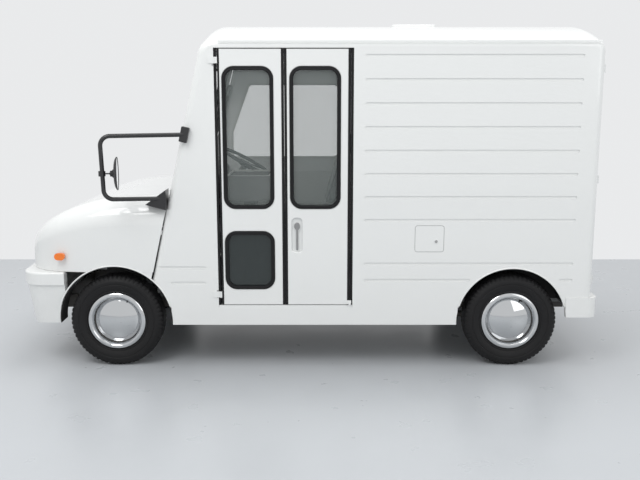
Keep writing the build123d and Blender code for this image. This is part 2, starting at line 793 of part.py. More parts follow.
def make_bumpers():
    """Make the deep front bumper with its stepped top ledge, and the rear bumper."""
    groove_z = bumper_top_z - 72
    with BuildPart() as front:
        with BuildSketch(Plane.XY.offset(groove_z)):
            add(bumper_outline(0, 60))
        extrude(amount=bumper_top_z - groove_z)
        with BuildSketch(Plane.XY.offset(groove_z)):
            add(bumper_outline(9, 51))
        with BuildSketch(Plane.XY.offset(bumper_bottom_z)):
            add(bumper_outline(42, 22))
        loft()
        with BuildSketch(Plane.XZ):
            with Locations((front_axle_x, axle_z)):
                Circle(arch_front_r)
        extrude(amount=overall_width, both=True, mode=Mode.SUBTRACT)
        fillet(front.faces().sort_by(Axis.Z)[-1].outer_wire().edges(), radius=12)
    save(front.part, "front_bumper")
    low, high = 292, 406
    body = body_block(-0.5, 0, 0, -0.5, sill_top_z)
    start = rear_axle_x + arch_rear_r - 6
    half = side_y + drip_lip
    with BuildPart() as rear:
        with BuildSketch(Plane.XY.offset(low)):
            with BuildLine():
                Polyline((start, -half), (tail_x - 60, -half))
                RadiusArc((tail_x - 60, -half), (tail_x, 60 - half), -60)
                Line((tail_x, 60 - half), (tail_x, half - 60))
                RadiusArc((tail_x, half - 60), (tail_x - 60, half), -60)
                Polyline((tail_x - 60, half), (start, half), (start, half - 30),
                         (body_rear_x + 0.5, half - 34), (body_rear_x + 0.5, 34 - half),
                         (start, 30 - half), (start, -half))
            make_face()
        extrude(amount=high - low)
        add(body, mode=Mode.SUBTRACT)
        with BuildSketch(Plane.XZ):
            with Locations((rear_axle_x, axle_z)):
                Circle(arch_rear_r)
        extrude(amount=overall_width, both=True, mode=Mode.SUBTRACT)
        for side in (-1, 1):
            y0, y1 = side_range(side, tail_lamp_y - fit_gap, tail_lamp_y + tail_lamp_width + fit_gap)
            add(box_between((tail_x - tail_lamp_depth - fit_gap, y0, tail_lamp_z - fit_gap),
                            (tail_x + 1, y1, tail_lamp_z + tail_lamp_height + fit_gap)),
                mode=Mode.SUBTRACT)
    save(rear.part, "rear_bumper")


deck_rise = 4  # the load room's floor stands this far above the cab's


def make_sills_and_floor():
    """Make the sills, the flat floor, the rear wheel housings and the front wheel liners."""
    with BuildPart() as sills:
        for side in (-1, 1):
            y0, y1 = side_range(side, side_y - 34, side_y)
            x0 = front_axle_x + arch_front_r - 6
            x1 = rear_axle_x - arch_rear_r + 6
            add(box_between((x0, y0, sill_bottom_z), (x1, y1, sill_top_z)))
        add(box_between((door_front_x + 1, -side_y + 1, sill_top_z),
                        (door_rear_x - 1, 34 - side_y, door_bottom_z - fit_gap)))
        for x, radius in ((front_axle_x, arch_front_r), (rear_axle_x, arch_rear_r)):
            with BuildSketch(Plane.XZ):
                with Locations((x, axle_z)):
                    Circle(radius)
            extrude(amount=overall_width, both=True, mode=Mode.SUBTRACT)
    save(sills.part, "sill_panels")
    floor_y = side_y - 34 - fit_gap
    floor_low = floor_z - floor_thickness
    with BuildPart() as floor:
        add(box_between((screen_x(floor_z) + 10, -floor_y, floor_low),
                        (body_rear_x - skin - 1, floor_y, floor_z)))
        deck_half = rear_well_y - 25
        add(box_between((door_rear_x + 30, -deck_half, floor_low),
                        (body_rear_x - 45, deck_half, floor_z + deck_rise)))
        for side in (-1, 1):
            y0, y1 = side_range(side, well_inner_y, overall_width)
            add(box_between((nose_tip_x, y0, 0), (front_axle_x + arch_front_r + 12, y1, floor_z + 1)),
                mode=Mode.SUBTRACT)
            y0, y1 = side_range(side, rear_well_y, overall_width)
            reach = arch_rear_r + 12
            add(box_between((rear_axle_x - reach, y0, 0), (rear_axle_x + reach, y1, floor_z + 1)),
                mode=Mode.SUBTRACT)
    save(floor.part, "floor_panel")
    wall = 6
    with BuildPart() as housings:
        for side in (-1, 1):
            y0, y1 = side_range(side, rear_well_y, inner_y - fit_gap)
            outer = arch_rear_r + 8 + wall
            with BuildSketch(Plane.XZ.offset(-y1)):
                with Locations((rear_axle_x, axle_z)):
                    Circle(outer)
                    Circle(outer - wall, mode=Mode.SUBTRACT)
            extrude(amount=y1 - y0)
            y2, y3 = side_range(side, rear_well_y, rear_well_y + wall)
            with BuildSketch(Plane.XZ.offset(-y3)):
                with Locations((rear_axle_x, axle_z)):
                    Circle(outer)
            extrude(amount=y3 - y2)
        add(box_between((nose_tip_x, -side_y, -tyre_radius), (tail_x, side_y, floor_z + 0.5)),
            mode=Mode.SUBTRACT)
    with BuildPart() as liners:
        for side in (-1, 1):
            y0, y1 = side_range(side, wheel_y - 60, inner_y - fit_gap)
            with BuildSketch(Plane.XZ.offset(-y1)):
                with Locations((front_axle_x, axle_z)):
                    Circle(arch_front_r - 3)
                    Circle(arch_front_r - 8, mode=Mode.SUBTRACT)
            extrude(amount=y1 - y0)
        add(box_between((nose_tip_x, -side_y, -tyre_radius), (tail_x, side_y, axle_z - 10)),
            mode=Mode.SUBTRACT)
    save(liners.part + housings.part, "wheel_arch_liners")


# ---- chassis and drive ----------------------------------------------------------------
rail_half_y = 330
rail_low_z = 262
rail_high_z = floor_z - floor_thickness


def make_chassis():
    """Make the chassis frame of two rails and four cross members, and the engine block."""
    rail_width = 50
    half_width = rail_width / 2
    with BuildPart() as frame:
        for side in (-1, 1):
            y0, y1 = side_range(side, rail_half_y - half_width, rail_half_y + half_width)
            add(box_between((bumper_inner_x + 2, y0, rail_low_z), (body_rear_x - 60, y1, rail_high_z)))
            add(box_between((rear_axle_x - 60, y0, 0), (rear_axle_x + 60, y1, axle_z + 46)),
                mode=Mode.SUBTRACT)
        for x in (bumper_inner_x + 22, door_front_x, door_rear_x, body_rear_x - 90):
            add(box_between((x - 20, half_width - rail_half_y, rail_low_z),
                            (x + 20, rail_half_y - half_width, rail_high_z)))
    save(frame.part, "chassis_frame")
    engine_length = 240
    engine_width = 470
    with BuildPart() as engine:
        with Locations((front_axle_x - 40, 0, rail_high_z + 170)):
            Box(engine_length, engine_width, 340)
        with Locations((front_axle_x - 40, 0, rail_high_z - 50)):
            Box(engine_length - 60, engine_width - 120, 100)
        fillet(engine.edges().filter_by(Axis.Y).group_by(Axis.Z)[-1], radius=18)
    save(engine.part, "engine_and_gearbox")


# ---- wheels, axles and steering -------------------------------------------------------
hub_bore = 14
stub_radius = hub_bore - running_clearance


def make_wheels():
    """Make the four tyres and the four steel wheels with their plated caps."""
    half = tyre_width / 2
    shoulder_radius = 26
    dome_rise = 36
    cap_foot = half - dome_rise
    dome_radius = (cap_radius**2 + dome_rise**2) / (2 * dome_rise)
    for x, axle in ((front_axle_x, "front"), (rear_axle_x, "rear")):
        for side, name in ((-1, "left"), (1, "right")):
            plane = Plane(origin=(x, side * wheel_y, axle_z), x_dir=(1, 0, 0), z_dir=(0, side, 0))
            with BuildPart() as tyre:
                with BuildSketch(Plane.XZ) as section:
                    with Locations(((tyre_radius + rim_radius) / 2, 0)):
                        Rectangle(tyre_radius - rim_radius, tyre_width)
                    fillet(section.vertices().group_by(Axis.X)[-1], radius=shoulder_radius)
                revolve(axis=Axis.Z)
            save(plane.location * tyre.part, f"{axle}_{name}_tyre")
            with BuildPart() as wheel:
                with BuildSketch(Plane.XZ):
                    with BuildLine():
                        Polyline(
                            (hub_bore, -34), (40, -34), (44, 8), (rim_radius - 26, 16),
                            (rim_radius - 26, -half + 18), (rim_radius, -half + 12),
                            (rim_radius, half - 12), (rim_radius - 26, half - 6),
                            (cap_radius + 4, half - 32), (cap_radius, cap_foot),
                        )
                        RadiusArc((cap_radius, cap_foot), (0, cap_foot + dome_rise), -dome_radius)
                        Polyline((0, cap_foot + dome_rise), (0, 26), (hub_bore, 26), (hub_bore, -34))
                    make_face()
                revolve(axis=Axis.Z)
            save(plane.location * wheel.part, f"{axle}_{name}_wheel")


beam_drop = 86  # from the wheel centres down to the top of the axle beam
steer_arm_length = 95
steer_arm_drop = 40
pin_radius = 14
knuckle_radius = 24
pin_rise = 110


def make_axles():
    """Make the front beam with its kingpins, the steered knuckles, the rack and the rear axle."""
    beam_z = axle_z - beam_drop
    with BuildPart() as beam:
        add(box_between((front_axle_x - 25, -kingpin_y - 22, beam_z - 24),
                        (front_axle_x + 25, kingpin_y + 22, beam_z)))
        for side in (-1, 1):
            with BuildSketch(Plane.XY.offset(beam_z)):
                with Locations((front_axle_x, side * kingpin_y)):
                    Circle(pin_radius - running_clearance)
            extrude(amount=beam_drop + pin_rise)
            y0, y1 = side_range(side, rail_half_y - 20, rail_half_y + 20)
            add(box_between((front_axle_x - 40, y0, beam_z), (front_axle_x + 40, y1, rail_low_z)))
    for side, name in ((-1, "left"), (1, "right")):
        y_stub = side * (wheel_y + 24)
        with BuildPart() as knuckle:
            with BuildSketch(Plane.XZ.offset(-side * (kingpin_y + pin_radius + 3))):
                with Locations((front_axle_x, axle_z)):
                    Circle(stub_radius)
            extrude(amount=-side * (wheel_y + 24 - kingpin_y - pin_radius - 3))
            with BuildSketch(Plane.XY.offset(beam_z + 2)):
                with Locations((front_axle_x, side * kingpin_y)):
                    Circle(knuckle_radius)
            extrude(amount=beam_drop + 84)
            arm_y0, arm_y1 = side_range(side, kingpin_y - 26, kingpin_y - 15)
            arm_z = axle_z - steer_arm_drop
            add(box_between((front_axle_x, arm_y0, arm_z - 8),
                            (front_axle_x + steer_arm_length + 12, arm_y1, arm_z + 8)))
            with BuildSketch(Plane.XY.offset(beam_z + 1)):
                with Locations((front_axle_x, side * kingpin_y)):
                    Circle(pin_radius)
            extrude(amount=beam_drop + 90, mode=Mode.SUBTRACT)
        save(knuckle.part, f"{name}_knuckle")
    rack_z = axle_z - steer_arm_drop + 24
    rack_x = front_axle_x + steer_arm_length
    rod_end_y = kingpin_y - 20
    with BuildPart() as rack:
        with BuildSketch(Plane.XZ.offset(-rod_end_y)):
            with Locations((rack_x, rack_z)):
                Circle(9)
        extrude(amount=2 * rod_end_y)
        for side in (-1, 1):
            with BuildSketch(Plane.XY.offset(rack_z - 12)):
                with Locations((rack_x, side * rod_end_y)):
                    Circle(13)
            extrude(amount=24)
    save(rack.part, "steering_rack")
    with BuildPart() as rack_housing:
        with BuildSketch(Plane.XZ.offset(-200)):
            with Locations((rack_x, rack_z)):
                Circle(24)
                Circle(9 + running_clearance, mode=Mode.SUBTRACT)
        extrude(amount=400)
        add(box_between((rack_x - 15, 25 - rail_half_y, rack_z + 20),
                        (rack_x + 15, rail_half_y - 25, rack_z + 34)))
    save(beam.part + rack_housing.part, "front_axle_beam")
    stub_end = wheel_y + 24
    with BuildPart() as axle:
        with BuildSketch(Plane.XZ.offset(-stub_end)):
            with Locations((rear_axle_x, axle_z)):
                Circle(stub_radius)
        extrude(amount=2 * stub_end)
        with BuildSketch(Plane.XZ.offset(-(wheel_y - 40))):
            with Locations((rear_axle_x, axle_z)):
                Circle(36)
        extrude(amount=2 * (wheel_y - 40))
        for side in (-1, 1):
            y0, y1 = side_range(side, rail_half_y - 24, rail_half_y + 24)
            add(box_between((rear_axle_x - 380, y0, axle_z - 62), (rear_axle_x + 300, y1, axle_z - 38)))
            for x in (rear_axle_x - 370, rear_axle_x + 290):
                add(box_between((x - 14, y0, axle_z - 40), (x + 14, y1, rail_low_z)))
    save(axle.part, "rear_axle_and_springs")


# ---- cab interior ----------------------------------------------------------------------
driver_y = 350
steer_centre_x = front_axle_x + 665
steer_centre_z = floor_z + 728
steer_tilt = 29
steer_radius = 185
seat_x = front_axle_x + 967  # front-to-back middle of the seat cushion
seat_top_z = floor_z + 430
seat_length = 460
seat_width = 460
cushion_thickness = 100
seat_slide_travel = 80
back_tilt = 14


def steering_plane(offset):
    """Return the plane of the steering wheel, moved along the column towards the driver."""
    normal = Vector(sin(radians(steer_tilt)), 0, cos(radians(steer_tilt)))
    centre = Vector(steer_centre_x, driver_y, steer_centre_z) + normal * offset
    return Plane(origin=centre, x_dir=(0, 1, 0), z_dir=normal)


def make_steering_wheel():
    """Make the steering wheel."""
    plane = steering_plane(0)
    with BuildPart() as wheel:
        with BuildSketch(Plane.XZ):
            with Locations((steer_radius - 11, 0)):
                Circle(11)
        revolve(axis=Axis.Z)
        with BuildSketch(Plane.XY.offset(-34)):
            Circle(46)
        extrude(amount=30)
        for angle in (0, 120, 240):
            with BuildSketch(Plane.XY.offset(-14)):
                with PolarLocations(0, 1, start_angle=angle + 90):
                    with Locations((steer_radius / 2 + 4, 0)):
                        Rectangle(steer_radius - 24, 26)
            extrude(amount=7)
    save(plane.location * wheel.part, "steering_wheel")


def make_dashboard():
    """Make the dashboard with its hood and the steering column, and the mail tray on its post."""
    column_length = 430
    with BuildPart() as column:
        with BuildSketch(steering_plane(-35)):
            Circle(22)
        extrude(amount=-column_length)
    dash_rear = steer_centre_x - 150
    dash_low = cowl_z - 125
    dash_high = cowl_z + 75
    with BuildPart() as dash:
        with BuildSketch(Plane.XZ):
            with BuildLine():
                Polyline(
                    (screen_x(dash_low) + skin + 4, dash_low), (screen_x(dash_high) + skin + 4, dash_high),
                    (dash_rear - 20, dash_high), (dash_rear, dash_high - 30), (dash_rear - 20, dash_low),
                    close=True,
                )
            make_face()
        extrude(amount=side_y - leaf_thickness - trim_thickness - 8, both=True)
        with Locations((dash_rear - 60, driver_y, dash_high + 24)):
            Box(110, 300, 52)
    tray_x0 = front_axle_x + 612
    tray_x1 = front_axle_x + 870
    tray_top = floor_z + 700
    wall = 8
    with BuildPart() as tray:
        add(box_between((tray_x0, -420, tray_top - 140), (tray_x1, -60, tray_top)))
        add(box_between((tray_x0 + wall, -420 + wall, tray_top - 140 + wall),
                        (tray_x1 - wall, -60 - wall, tray_top + 1)), mode=Mode.SUBTRACT)
        add(box_between((tray_x0 + 90, -280, floor_z), (tray_x1 - 90, -200, tray_top - 140)))
    with BuildPart() as rail:
        add(box_between((tray_x0 - 4, -424, tray_top), (tray_x1 + 4, -56, tray_top + 10)))
        add(box_between((tray_x0 + wall, -420 + wall, tray_top - 1),
                        (tray_x1 - wall, -60 - wall, tray_top + 11)), mode=Mode.SUBTRACT)
    save(dash.part + column.part + tray.part + rail.part, "dashboard_and_tray")


def make_seat():
    """Make the driver's seat: pedestal with its rails, sliding base, cushion and backrest."""
    x0 = seat_x - seat_length / 2
    x1 = seat_x + seat_length / 2
    base_z = seat_top_z - cushion_thickness - 30
    with BuildPart() as pedestal:
        add(box_between((x0 + 50, driver_y - 190, floor_z), (x1 - 50, driver_y + 190, base_z - 22)))
    save(pedestal.part, "seat_pedestal")
    with BuildPart() as base:
        add(box_between((x0 + 10, driver_y - 200, base_z - 20), (x1 + 40, driver_y + 200, base_z + 30)))
        for side in (-1, 1):
            y0, y1 = sorted((driver_y + side * 206, driver_y + side * 200))
            add(box_between((x1 - 10, y0, base_z - 20), (x1 + 70, y1, base_z + 120)))
    with BuildPart() as cushion:
        add(box_between((x0, driver_y - seat_width / 2 + 32, base_z + 30.5),
                        (x1 - 30, driver_y + seat_width / 2 - 32, seat_top_z)))
        fillet(cushion.edges(), radius=24)
    save(base.part + cushion.part, "seat_base_and_cushion")
    back_height = 520
    back_thickness = 96
    pivot = Plane(origin=(seat_pivot_x, driver_y, seat_pivot_z), x_dir=(1, 0, 0), z_dir=(0, 0, 1))
    with BuildPart() as back:
        with Locations((0, 0, 24 + back_height / 2)):
            Box(back_thickness, seat_width - 70, back_height)
        fillet(back.edges(), radius=34)
    tilted = pivot.location * Rot(0, back_tilt, 0) * back.part
    save(tilted, "seat_backrest")


seat_pivot_x = seat_x + seat_length / 2 + 30
seat_pivot_z = seat_top_z - 20


# ---- mirrors, wipers and small outside parts ---------------------------------------------
mirror_y = side_y + 98
mirror_x = front_axle_x + 62
mirror_z = cowl_z + 136
mirror_radius = 91
mirror_turn = 10  # degrees that each glass is turned in towards the driver
right_stay_set_back = 205  # the driver's own mirror stands nearer to the door
stay_radius = 12
ball_radius = 9
ball_set = 26  # from the rim of the mirror's dish back to the middle of its ball
stay_front_x = front_axle_x - 10
stay_top_z = cowl_z + 340
stay_low_z = cowl_z - 4


def make_mirrors():
    """Make both mirrors: a bent tube stay on two brackets, and a round swivelling head."""
    nose = nose_block(-fit_gap)
    body = body_block(-0.2, 0, -0.5, 0, sill_top_z)
    for side, name in ((-1, "left"), (1, "right")):
        set_back = right_stay_set_back if side > 0 else 0
        front_x = stay_front_x + set_back
        root_y = side_y + 16
        top_x = screen_x(stay_top_z) + 20
        low_x = screen_x(stay_low_z) - 30
        with BuildPart() as stay:
            with BuildLine() as path:
                FilletPolyline(
                    (top_x, side * root_y, stay_top_z),
                    (front_x - 6, side * mirror_y, stay_top_z - 4),
                    (front_x + 4, side * mirror_y, stay_low_z),
                    (low_x, side * root_y, stay_low_z - 6),
                    radius=52,
                )
            with BuildSketch(Plane(origin=path.line @ 0, z_dir=path.line % 0)):
                Circle(stay_radius)
            sweep()
        y0, y1 = side_range(side, side_y, side_y + 26)
        with BuildPart() as brackets:
            lean = Plane.XZ.offset(-side * side_y)
            with BuildSketch(lean):
                with Locations(Location((top_x + 4, stay_top_z), screen_rake * -1)):
                    RectangleRounded(44, 84, 5)
            extrude(amount=-side * 26)
            with BuildSketch(Plane.XZ.offset(-side * (side_y - 70))):
                with BuildLine():
                    Polyline((low_x - 92, stay_low_z - 40), (low_x + 22, stay_low_z + 42),
                             (low_x + 22, stay_low_z - 70), close=True)
                make_face()
            extrude(amount=-side * (70 + 30))
            add(nose, mode=Mode.SUBTRACT)
            add(body, mode=Mode.SUBTRACT)
            add(stay.part, mode=Mode.SUBTRACT)
        ball = Vector(mirror_x + set_back - ball_set, side * mirror_y, mirror_z)
        turn = radians(mirror_turn)
        outward = Vector(cos(turn), -side * sin(turn), 0)
        facing = Plane(origin=ball + outward * ball_set, x_dir=(side * sin(turn), cos(turn), 0), z_dir=outward)
        with BuildPart() as head:
            with BuildSketch(Plane.XZ):
                with BuildLine():
                    Polyline((0, -30), (16, -30), (18, -16), (30, -12))
                    ThreePointArc((30, -12), (mirror_radius * 0.74, -8), (mirror_radius, 4))
                    Polyline((mirror_radius, 4), (mirror_radius, 10), (mirror_radius - 6, 10),
                             (mirror_radius - 6, 4), (0, 4), (0, -30))
                make_face()
            revolve(axis=Axis.Z)
            with Locations((0, 0, -ball_set)):
                Sphere(ball_radius + running_clearance, mode=Mode.SUBTRACT)
        with BuildPart() as pane:
            with BuildSketch(Plane.XY.offset(4)):
                Circle(mirror_radius - 6.2)
            extrude(amount=4)
        save(facing.location * (head.part + pane.part), f"{name}_mirror_head")
        tube_x = front_x - 2
        with BuildPart() as clamp:
            with BuildSketch(Plane.XY.offset(mirror_z - 14)):
                with Locations((tube_x, side * mirror_y)):
                    Circle(stay_radius + 7)
            extrude(amount=28)
            with BuildSketch(Plane.YZ.offset(tube_x)):
                with Locations((side * mirror_y, mirror_z)):
                    Circle(4)
            extrude(amount=ball.X - tube_x)
            with Locations(ball):
                Sphere(ball_radius)
            add(stay.part, mode=Mode.SUBTRACT)
        save(stay.part + brackets.part + clamp.part, f"{name}_mirror_stay")


wiper_length = 560
wiper_y = 60


def make_wiper():
    """Make the wiper, an arm and a blade that lie along the foot of the windscreen."""
    foot = (glass_high_z - glass_low_z) / 2 / cos(radians(screen_rake)) + 40
    arm_lift = 7
    spindle_gap = 0.4
    plane = on_screen().offset(arm_lift)
    with BuildPart() as wiper:
        with BuildSketch(on_screen().offset(spindle_gap)):
            with Locations((-wiper_y, -foot)):
                Circle(14)
        extrude(amount=arm_lift + 16 - spindle_gap)
        with BuildSketch(plane.offset(8)):
            with Locations((wiper_length / 2 - wiper_y, -foot)):
                Rectangle(wiper_length, 12)
        extrude(amount=7)
        with BuildSketch(plane.offset(1)):
            with Locations((wiper_length / 2 - wiper_y + 40, -foot)):
                Rectangle(wiper_length - 80, 8)
        extrude(amount=8)
    save(wiper.part, "windscreen_wiper")


def make_fuel_flap():
    """Make the fuel flap with its round lock, in its recess in the left cargo side."""
    gap = 1.5
    middle = (flap_x0 + flap_width / 2, flap_z0 + flap_height / 2)
    with BuildPart() as flap:
        with BuildSketch(Plane.XZ.offset(side_y)):
            with Locations(middle):
                RectangleRounded(flap_width - 2 * gap, flap_height - 2 * gap, 13)
        extrude(amount=-flap_thickness)
        with BuildSketch(Plane.XZ.offset(side_y)):
            with Locations((flap_x0 + flap_width - 44, flap_z0 + 60)):
                Circle(10)
        extrude(amount=3)
    save(flap.part, "fuel_flap")


os.makedirs("parts", exist_ok=True)
hollow_body = body_shell()
make_left_side(hollow_body)
make_right_side(hollow_body)
make_roof(hollow_body)
make_cab_front(hollow_body, make_nose())
make_rear(hollow_body)
make_folding_door()
make_driver_door()
make_lamps()
make_bumpers()
make_sills_and_floor()
make_chassis()
make_wheels()
make_axles()
make_steering_wheel()
make_dashboard()
make_seat()
make_mirrors()
make_wiper()
make_fuel_flap()
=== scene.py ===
"""Looks of a small walk-through mail delivery truck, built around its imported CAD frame.

The front faces -X, the right-hand side is +Y and +Z is up. All lengths are in metres.
"""

import json
import logging
import math
from dataclasses import dataclass
from enum import Enum, StrEnum
from typing import Iterator, Protocol, Sequence

import bmesh
import bpy
import numpy as np
from mathutils import Matrix, Vector


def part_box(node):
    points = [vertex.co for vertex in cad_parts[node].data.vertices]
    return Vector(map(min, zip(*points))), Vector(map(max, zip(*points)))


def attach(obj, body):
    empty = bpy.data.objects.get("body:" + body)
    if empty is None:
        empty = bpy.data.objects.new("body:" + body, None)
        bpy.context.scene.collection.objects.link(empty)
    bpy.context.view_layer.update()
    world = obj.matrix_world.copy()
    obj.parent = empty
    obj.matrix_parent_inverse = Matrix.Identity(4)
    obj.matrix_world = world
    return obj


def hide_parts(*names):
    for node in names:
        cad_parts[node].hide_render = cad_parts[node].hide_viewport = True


log = logging.getLogger("mail_truck")
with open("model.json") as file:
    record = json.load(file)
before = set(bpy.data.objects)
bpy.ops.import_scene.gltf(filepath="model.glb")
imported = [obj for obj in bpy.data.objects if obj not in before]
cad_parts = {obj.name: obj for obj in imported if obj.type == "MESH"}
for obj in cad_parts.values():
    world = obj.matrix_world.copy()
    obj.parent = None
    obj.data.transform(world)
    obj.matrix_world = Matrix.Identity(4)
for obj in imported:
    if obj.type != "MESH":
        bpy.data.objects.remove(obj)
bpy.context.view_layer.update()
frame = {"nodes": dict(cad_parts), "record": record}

Point = Sequence[float]
Colour = tuple[float, float, float]
Span = tuple[float, float]

UP = (0.0, 0.0, 1.0)
RIGHTWARD = (0.0, 1.0, 0.0)
LEFTWARD = (0.0, -1.0, 0.0)
FORWARD = (-1.0, 0.0, 0.0)


class Side(StrEnum):
    """A side of the truck, as its driver names it."""

    LEFT = "left"
    RIGHT = "right"

    @property
    def sign(self) -> float:
        """Return the side's direction along Y."""
        return -1.0 if self is Side.LEFT else 1.0


class Axle(StrEnum):
    """One of the two axles."""

    FRONT = "front"
    REAR = "rear"


class Assembly(Protocol):
    """Anything that makes its own pieces."""

    def build(self) -> None:
        """Make the pieces."""


# ---- finishes ---------------------------------------------------------------------------
class Grain(Enum):
    """The small-scale texture of a surface."""

    ORANGE_PEEL = "orange peel"
    MOULDED = "moulded"
    LEATHER = "leather"
    BRUSHED = "brushed"
    CAST = "cast"
    FLUTED = "fluted"


NOISE_SCALES = {Grain.ORANGE_PEEL: 260.0, Grain.MOULDED: 700.0, Grain.BRUSHED: 90.0, Grain.CAST: 160.0}
BRUSH_STRETCH = 24.0
FLUTE_SCALE = 55.0
LEATHER_SCALE = 420.0
RELIEF = 0.0006
COAT_ROUGHNESS = 0.04
LEAST_ROUGHNESS = 0.015
CLOUD_SCALE = 5.0
DUST_COLOUR = (0.30, 0.27, 0.23, 1)
DUST_HEIGHTS = (0.15, 0.75)


@dataclass(frozen=True)
class Finish:
    """One surface finish, with its colour, gloss, texture, mottle and dust."""

    name: str
    slot: str
    colour: Colour
    roughness: float
    grain: Grain = Grain.MOULDED
    metallic: float = 0.0
    coat: float = 0.0
    alpha: float = 1.0
    bump: float = 0.12
    mottle: float = 0.05
    dust: float = 0.0
    spread: float = 0.08
    shine: float = 0.5

    def texture(self, tree: bpy.types.NodeTree, place: bpy.types.NodeSocket) -> bpy.types.NodeSocket:
        """Add the texture that gives the small relief.

        Args:
            tree: The material's node tree.
            place: The socket with the object coordinates.

        Returns:
            The height, as a socket.
        """
        nodes, links = tree.nodes, tree.links
        mapping = nodes.new("ShaderNodeMapping")
        links.new(place, mapping.inputs["Vector"])
        if self.grain is Grain.BRUSHED:
            mapping.inputs["Scale"].default_value = (1.0, 1.0, BRUSH_STRETCH)
        if self.grain is Grain.FLUTED:
            wave = nodes.new("ShaderNodeTexWave")
            wave.bands_direction = "Z"
            wave.inputs["Scale"].default_value = FLUTE_SCALE
            links.new(mapping.outputs["Vector"], wave.inputs["Vector"])
            return wave.outputs["Fac"]
        if self.grain is Grain.LEATHER:
            cells = nodes.new("ShaderNodeTexVoronoi")
            cells.inputs["Scale"].default_value = LEATHER_SCALE
            links.new(mapping.outputs["Vector"], cells.inputs["Vector"])
            return cells.outputs["Distance"]
        noise = nodes.new("ShaderNodeTexNoise")
        noise.inputs["Scale"].default_value = NOISE_SCALES[self.grain]
        noise.inputs["Detail"].default_value = 4.0
        links.new(mapping.outputs["Vector"], noise.inputs["Vector"])
        return noise.outputs["Fac"]

    def build(self) -> bpy.types.Material:
        """Make the material.

        Returns:
            The material, with relief, uneven gloss, mottled colour and dust near the ground.
        """
        material = bpy.data.materials.new(self.name)
        material.use_nodes = True
        tree = material.node_tree
        nodes, links = tree.nodes, tree.links
        shader = next(n for n in nodes if n.type == "BSDF_PRINCIPLED")
        shader.inputs["Metallic"].default_value = self.metallic
        shader.inputs["Coat Weight"].default_value = self.coat
        shader.inputs["Coat Roughness"].default_value = COAT_ROUGHNESS
        shader.inputs["Specular IOR Level"].default_value = self.shine
        shader.inputs["Alpha"].default_value = self.alpha
        place = nodes.new("ShaderNodeTexCoord").outputs["Object"]
        bump = nodes.new("ShaderNodeBump")
        bump.inputs["Strength"].default_value = self.bump
        bump.inputs["Distance"].default_value = RELIEF
        links.new(self.texture(tree, place), bump.inputs["Height"])
        links.new(bump.outputs["Normal"], shader.inputs["Normal"])
        cloud = nodes.new("ShaderNodeTexNoise")
        cloud.inputs["Scale"].default_value = CLOUD_SCALE
        cloud.inputs["Detail"].default_value = 6.0
        links.new(place, cloud.inputs["Vector"])
        gloss = nodes.new("ShaderNodeMapRange")
        gloss.inputs["To Min"].default_value = max(self.roughness - self.spread, LEAST_ROUGHNESS)
        gloss.inputs["To Max"].default_value = min(self.roughness + self.spread, 1.0)
        links.new(cloud.outputs["Fac"], gloss.inputs["Value"])
        links.new(gloss.outputs["Result"], shader.inputs["Roughness"])
        tint = nodes.new("ShaderNodeMix")
        tint.data_type = "RGBA"
        tint.inputs["A"].default_value = (*[c * (1 - self.mottle) for c in self.colour], 1)
        tint.inputs["B"].default_value = (*[min(c * (1 + self.mottle), 1) for c in self.colour], 1)
        links.new(cloud.outputs["Fac"], tint.inputs["Factor"])
        colour = tint.outputs["Result"]
        if self.dust:
            colour = self.dusted(tree, place, cloud.outputs["Fac"], colour)
        links.new(colour, shader.inputs["Base Color"])
        return material

    def dusted(
        self,
        tree: bpy.types.NodeTree,
        place: bpy.types.NodeSocket,
        cloud: bpy.types.NodeSocket,
        colour: bpy.types.NodeSocket,
    ) -> bpy.types.NodeSocket:
        """Mix road dust into a colour, more of it nearer to the ground.

        Args:
            tree: The material's node tree.
            place: The object coordinates.
            cloud: A slow noise.
            colour: The clean colour.

        Returns:
            The dusty colour, as a socket.
        """
        nodes, links = tree.nodes, tree.links
        split = nodes.new("ShaderNodeSeparateXYZ")
        links.new(place, split.inputs["Vector"])
        low = nodes.new("ShaderNodeMapRange")
        low.inputs["From Min"].default_value = DUST_HEIGHTS[0]
        low.inputs["From Max"].default_value = DUST_HEIGHTS[1]
        low.inputs["To Min"].default_value = self.dust
        low.inputs["To Max"].default_value = 0.0
        links.new(split.outputs["Z"], low.inputs["Value"])
        share = nodes.new("ShaderNodeMath")
        share.operation = "MULTIPLY"
        links.new(low.outputs["Result"], share.inputs[0])
        links.new(cloud, share.inputs[1])
        mix = nodes.new("ShaderNodeMix")
        mix.data_type = "RGBA"
        mix.inputs["B"].default_value = DUST_COLOUR
        links.new(share.outputs["Value"], mix.inputs["Factor"])
        links.new(colour, mix.inputs["A"])
        return mix.outputs["Result"]


WHITE = Finish("white_enamel", "white_paint", (0.80, 0.81, 0.80), 0.16, Grain.ORANGE_PEEL, coat=0.6,
               bump=0.05, mottle=0.010, dust=0.10, spread=0.05)
INNER = Finish("inside_enamel", "inner_white", (0.66, 0.66, 0.64), 0.45, Grain.ORANGE_PEEL, mottle=0.03)
RUBBER = Finish("door_rubber", "black_rubber", (0.010, 0.010, 0.011), 0.52, Grain.MOULDED,
                mottle=0.25, shine=0.25)
TYRE = Finish("tyre_rubber", "tyre_rubber", (0.011, 0.011, 0.012), 0.55, Grain.MOULDED, bump=0.3,
              mottle=0.25, dust=0.02, shine=0.22)
CHROME = Finish("plated_cap", "wheel_chrome", (0.60, 0.61, 0.62), 0.05, Grain.ORANGE_PEEL, metallic=1.0,
                bump=0.02, mottle=0.03, spread=0.04)
CASE = Finish("mirror_case", "mirror_case", (0.018, 0.018, 0.019), 0.42, Grain.MOULDED)
STAY = Finish("stay_enamel", "stay_black", (0.016, 0.016, 0.017), 0.34, Grain.ORANGE_PEEL, coat=0.3)
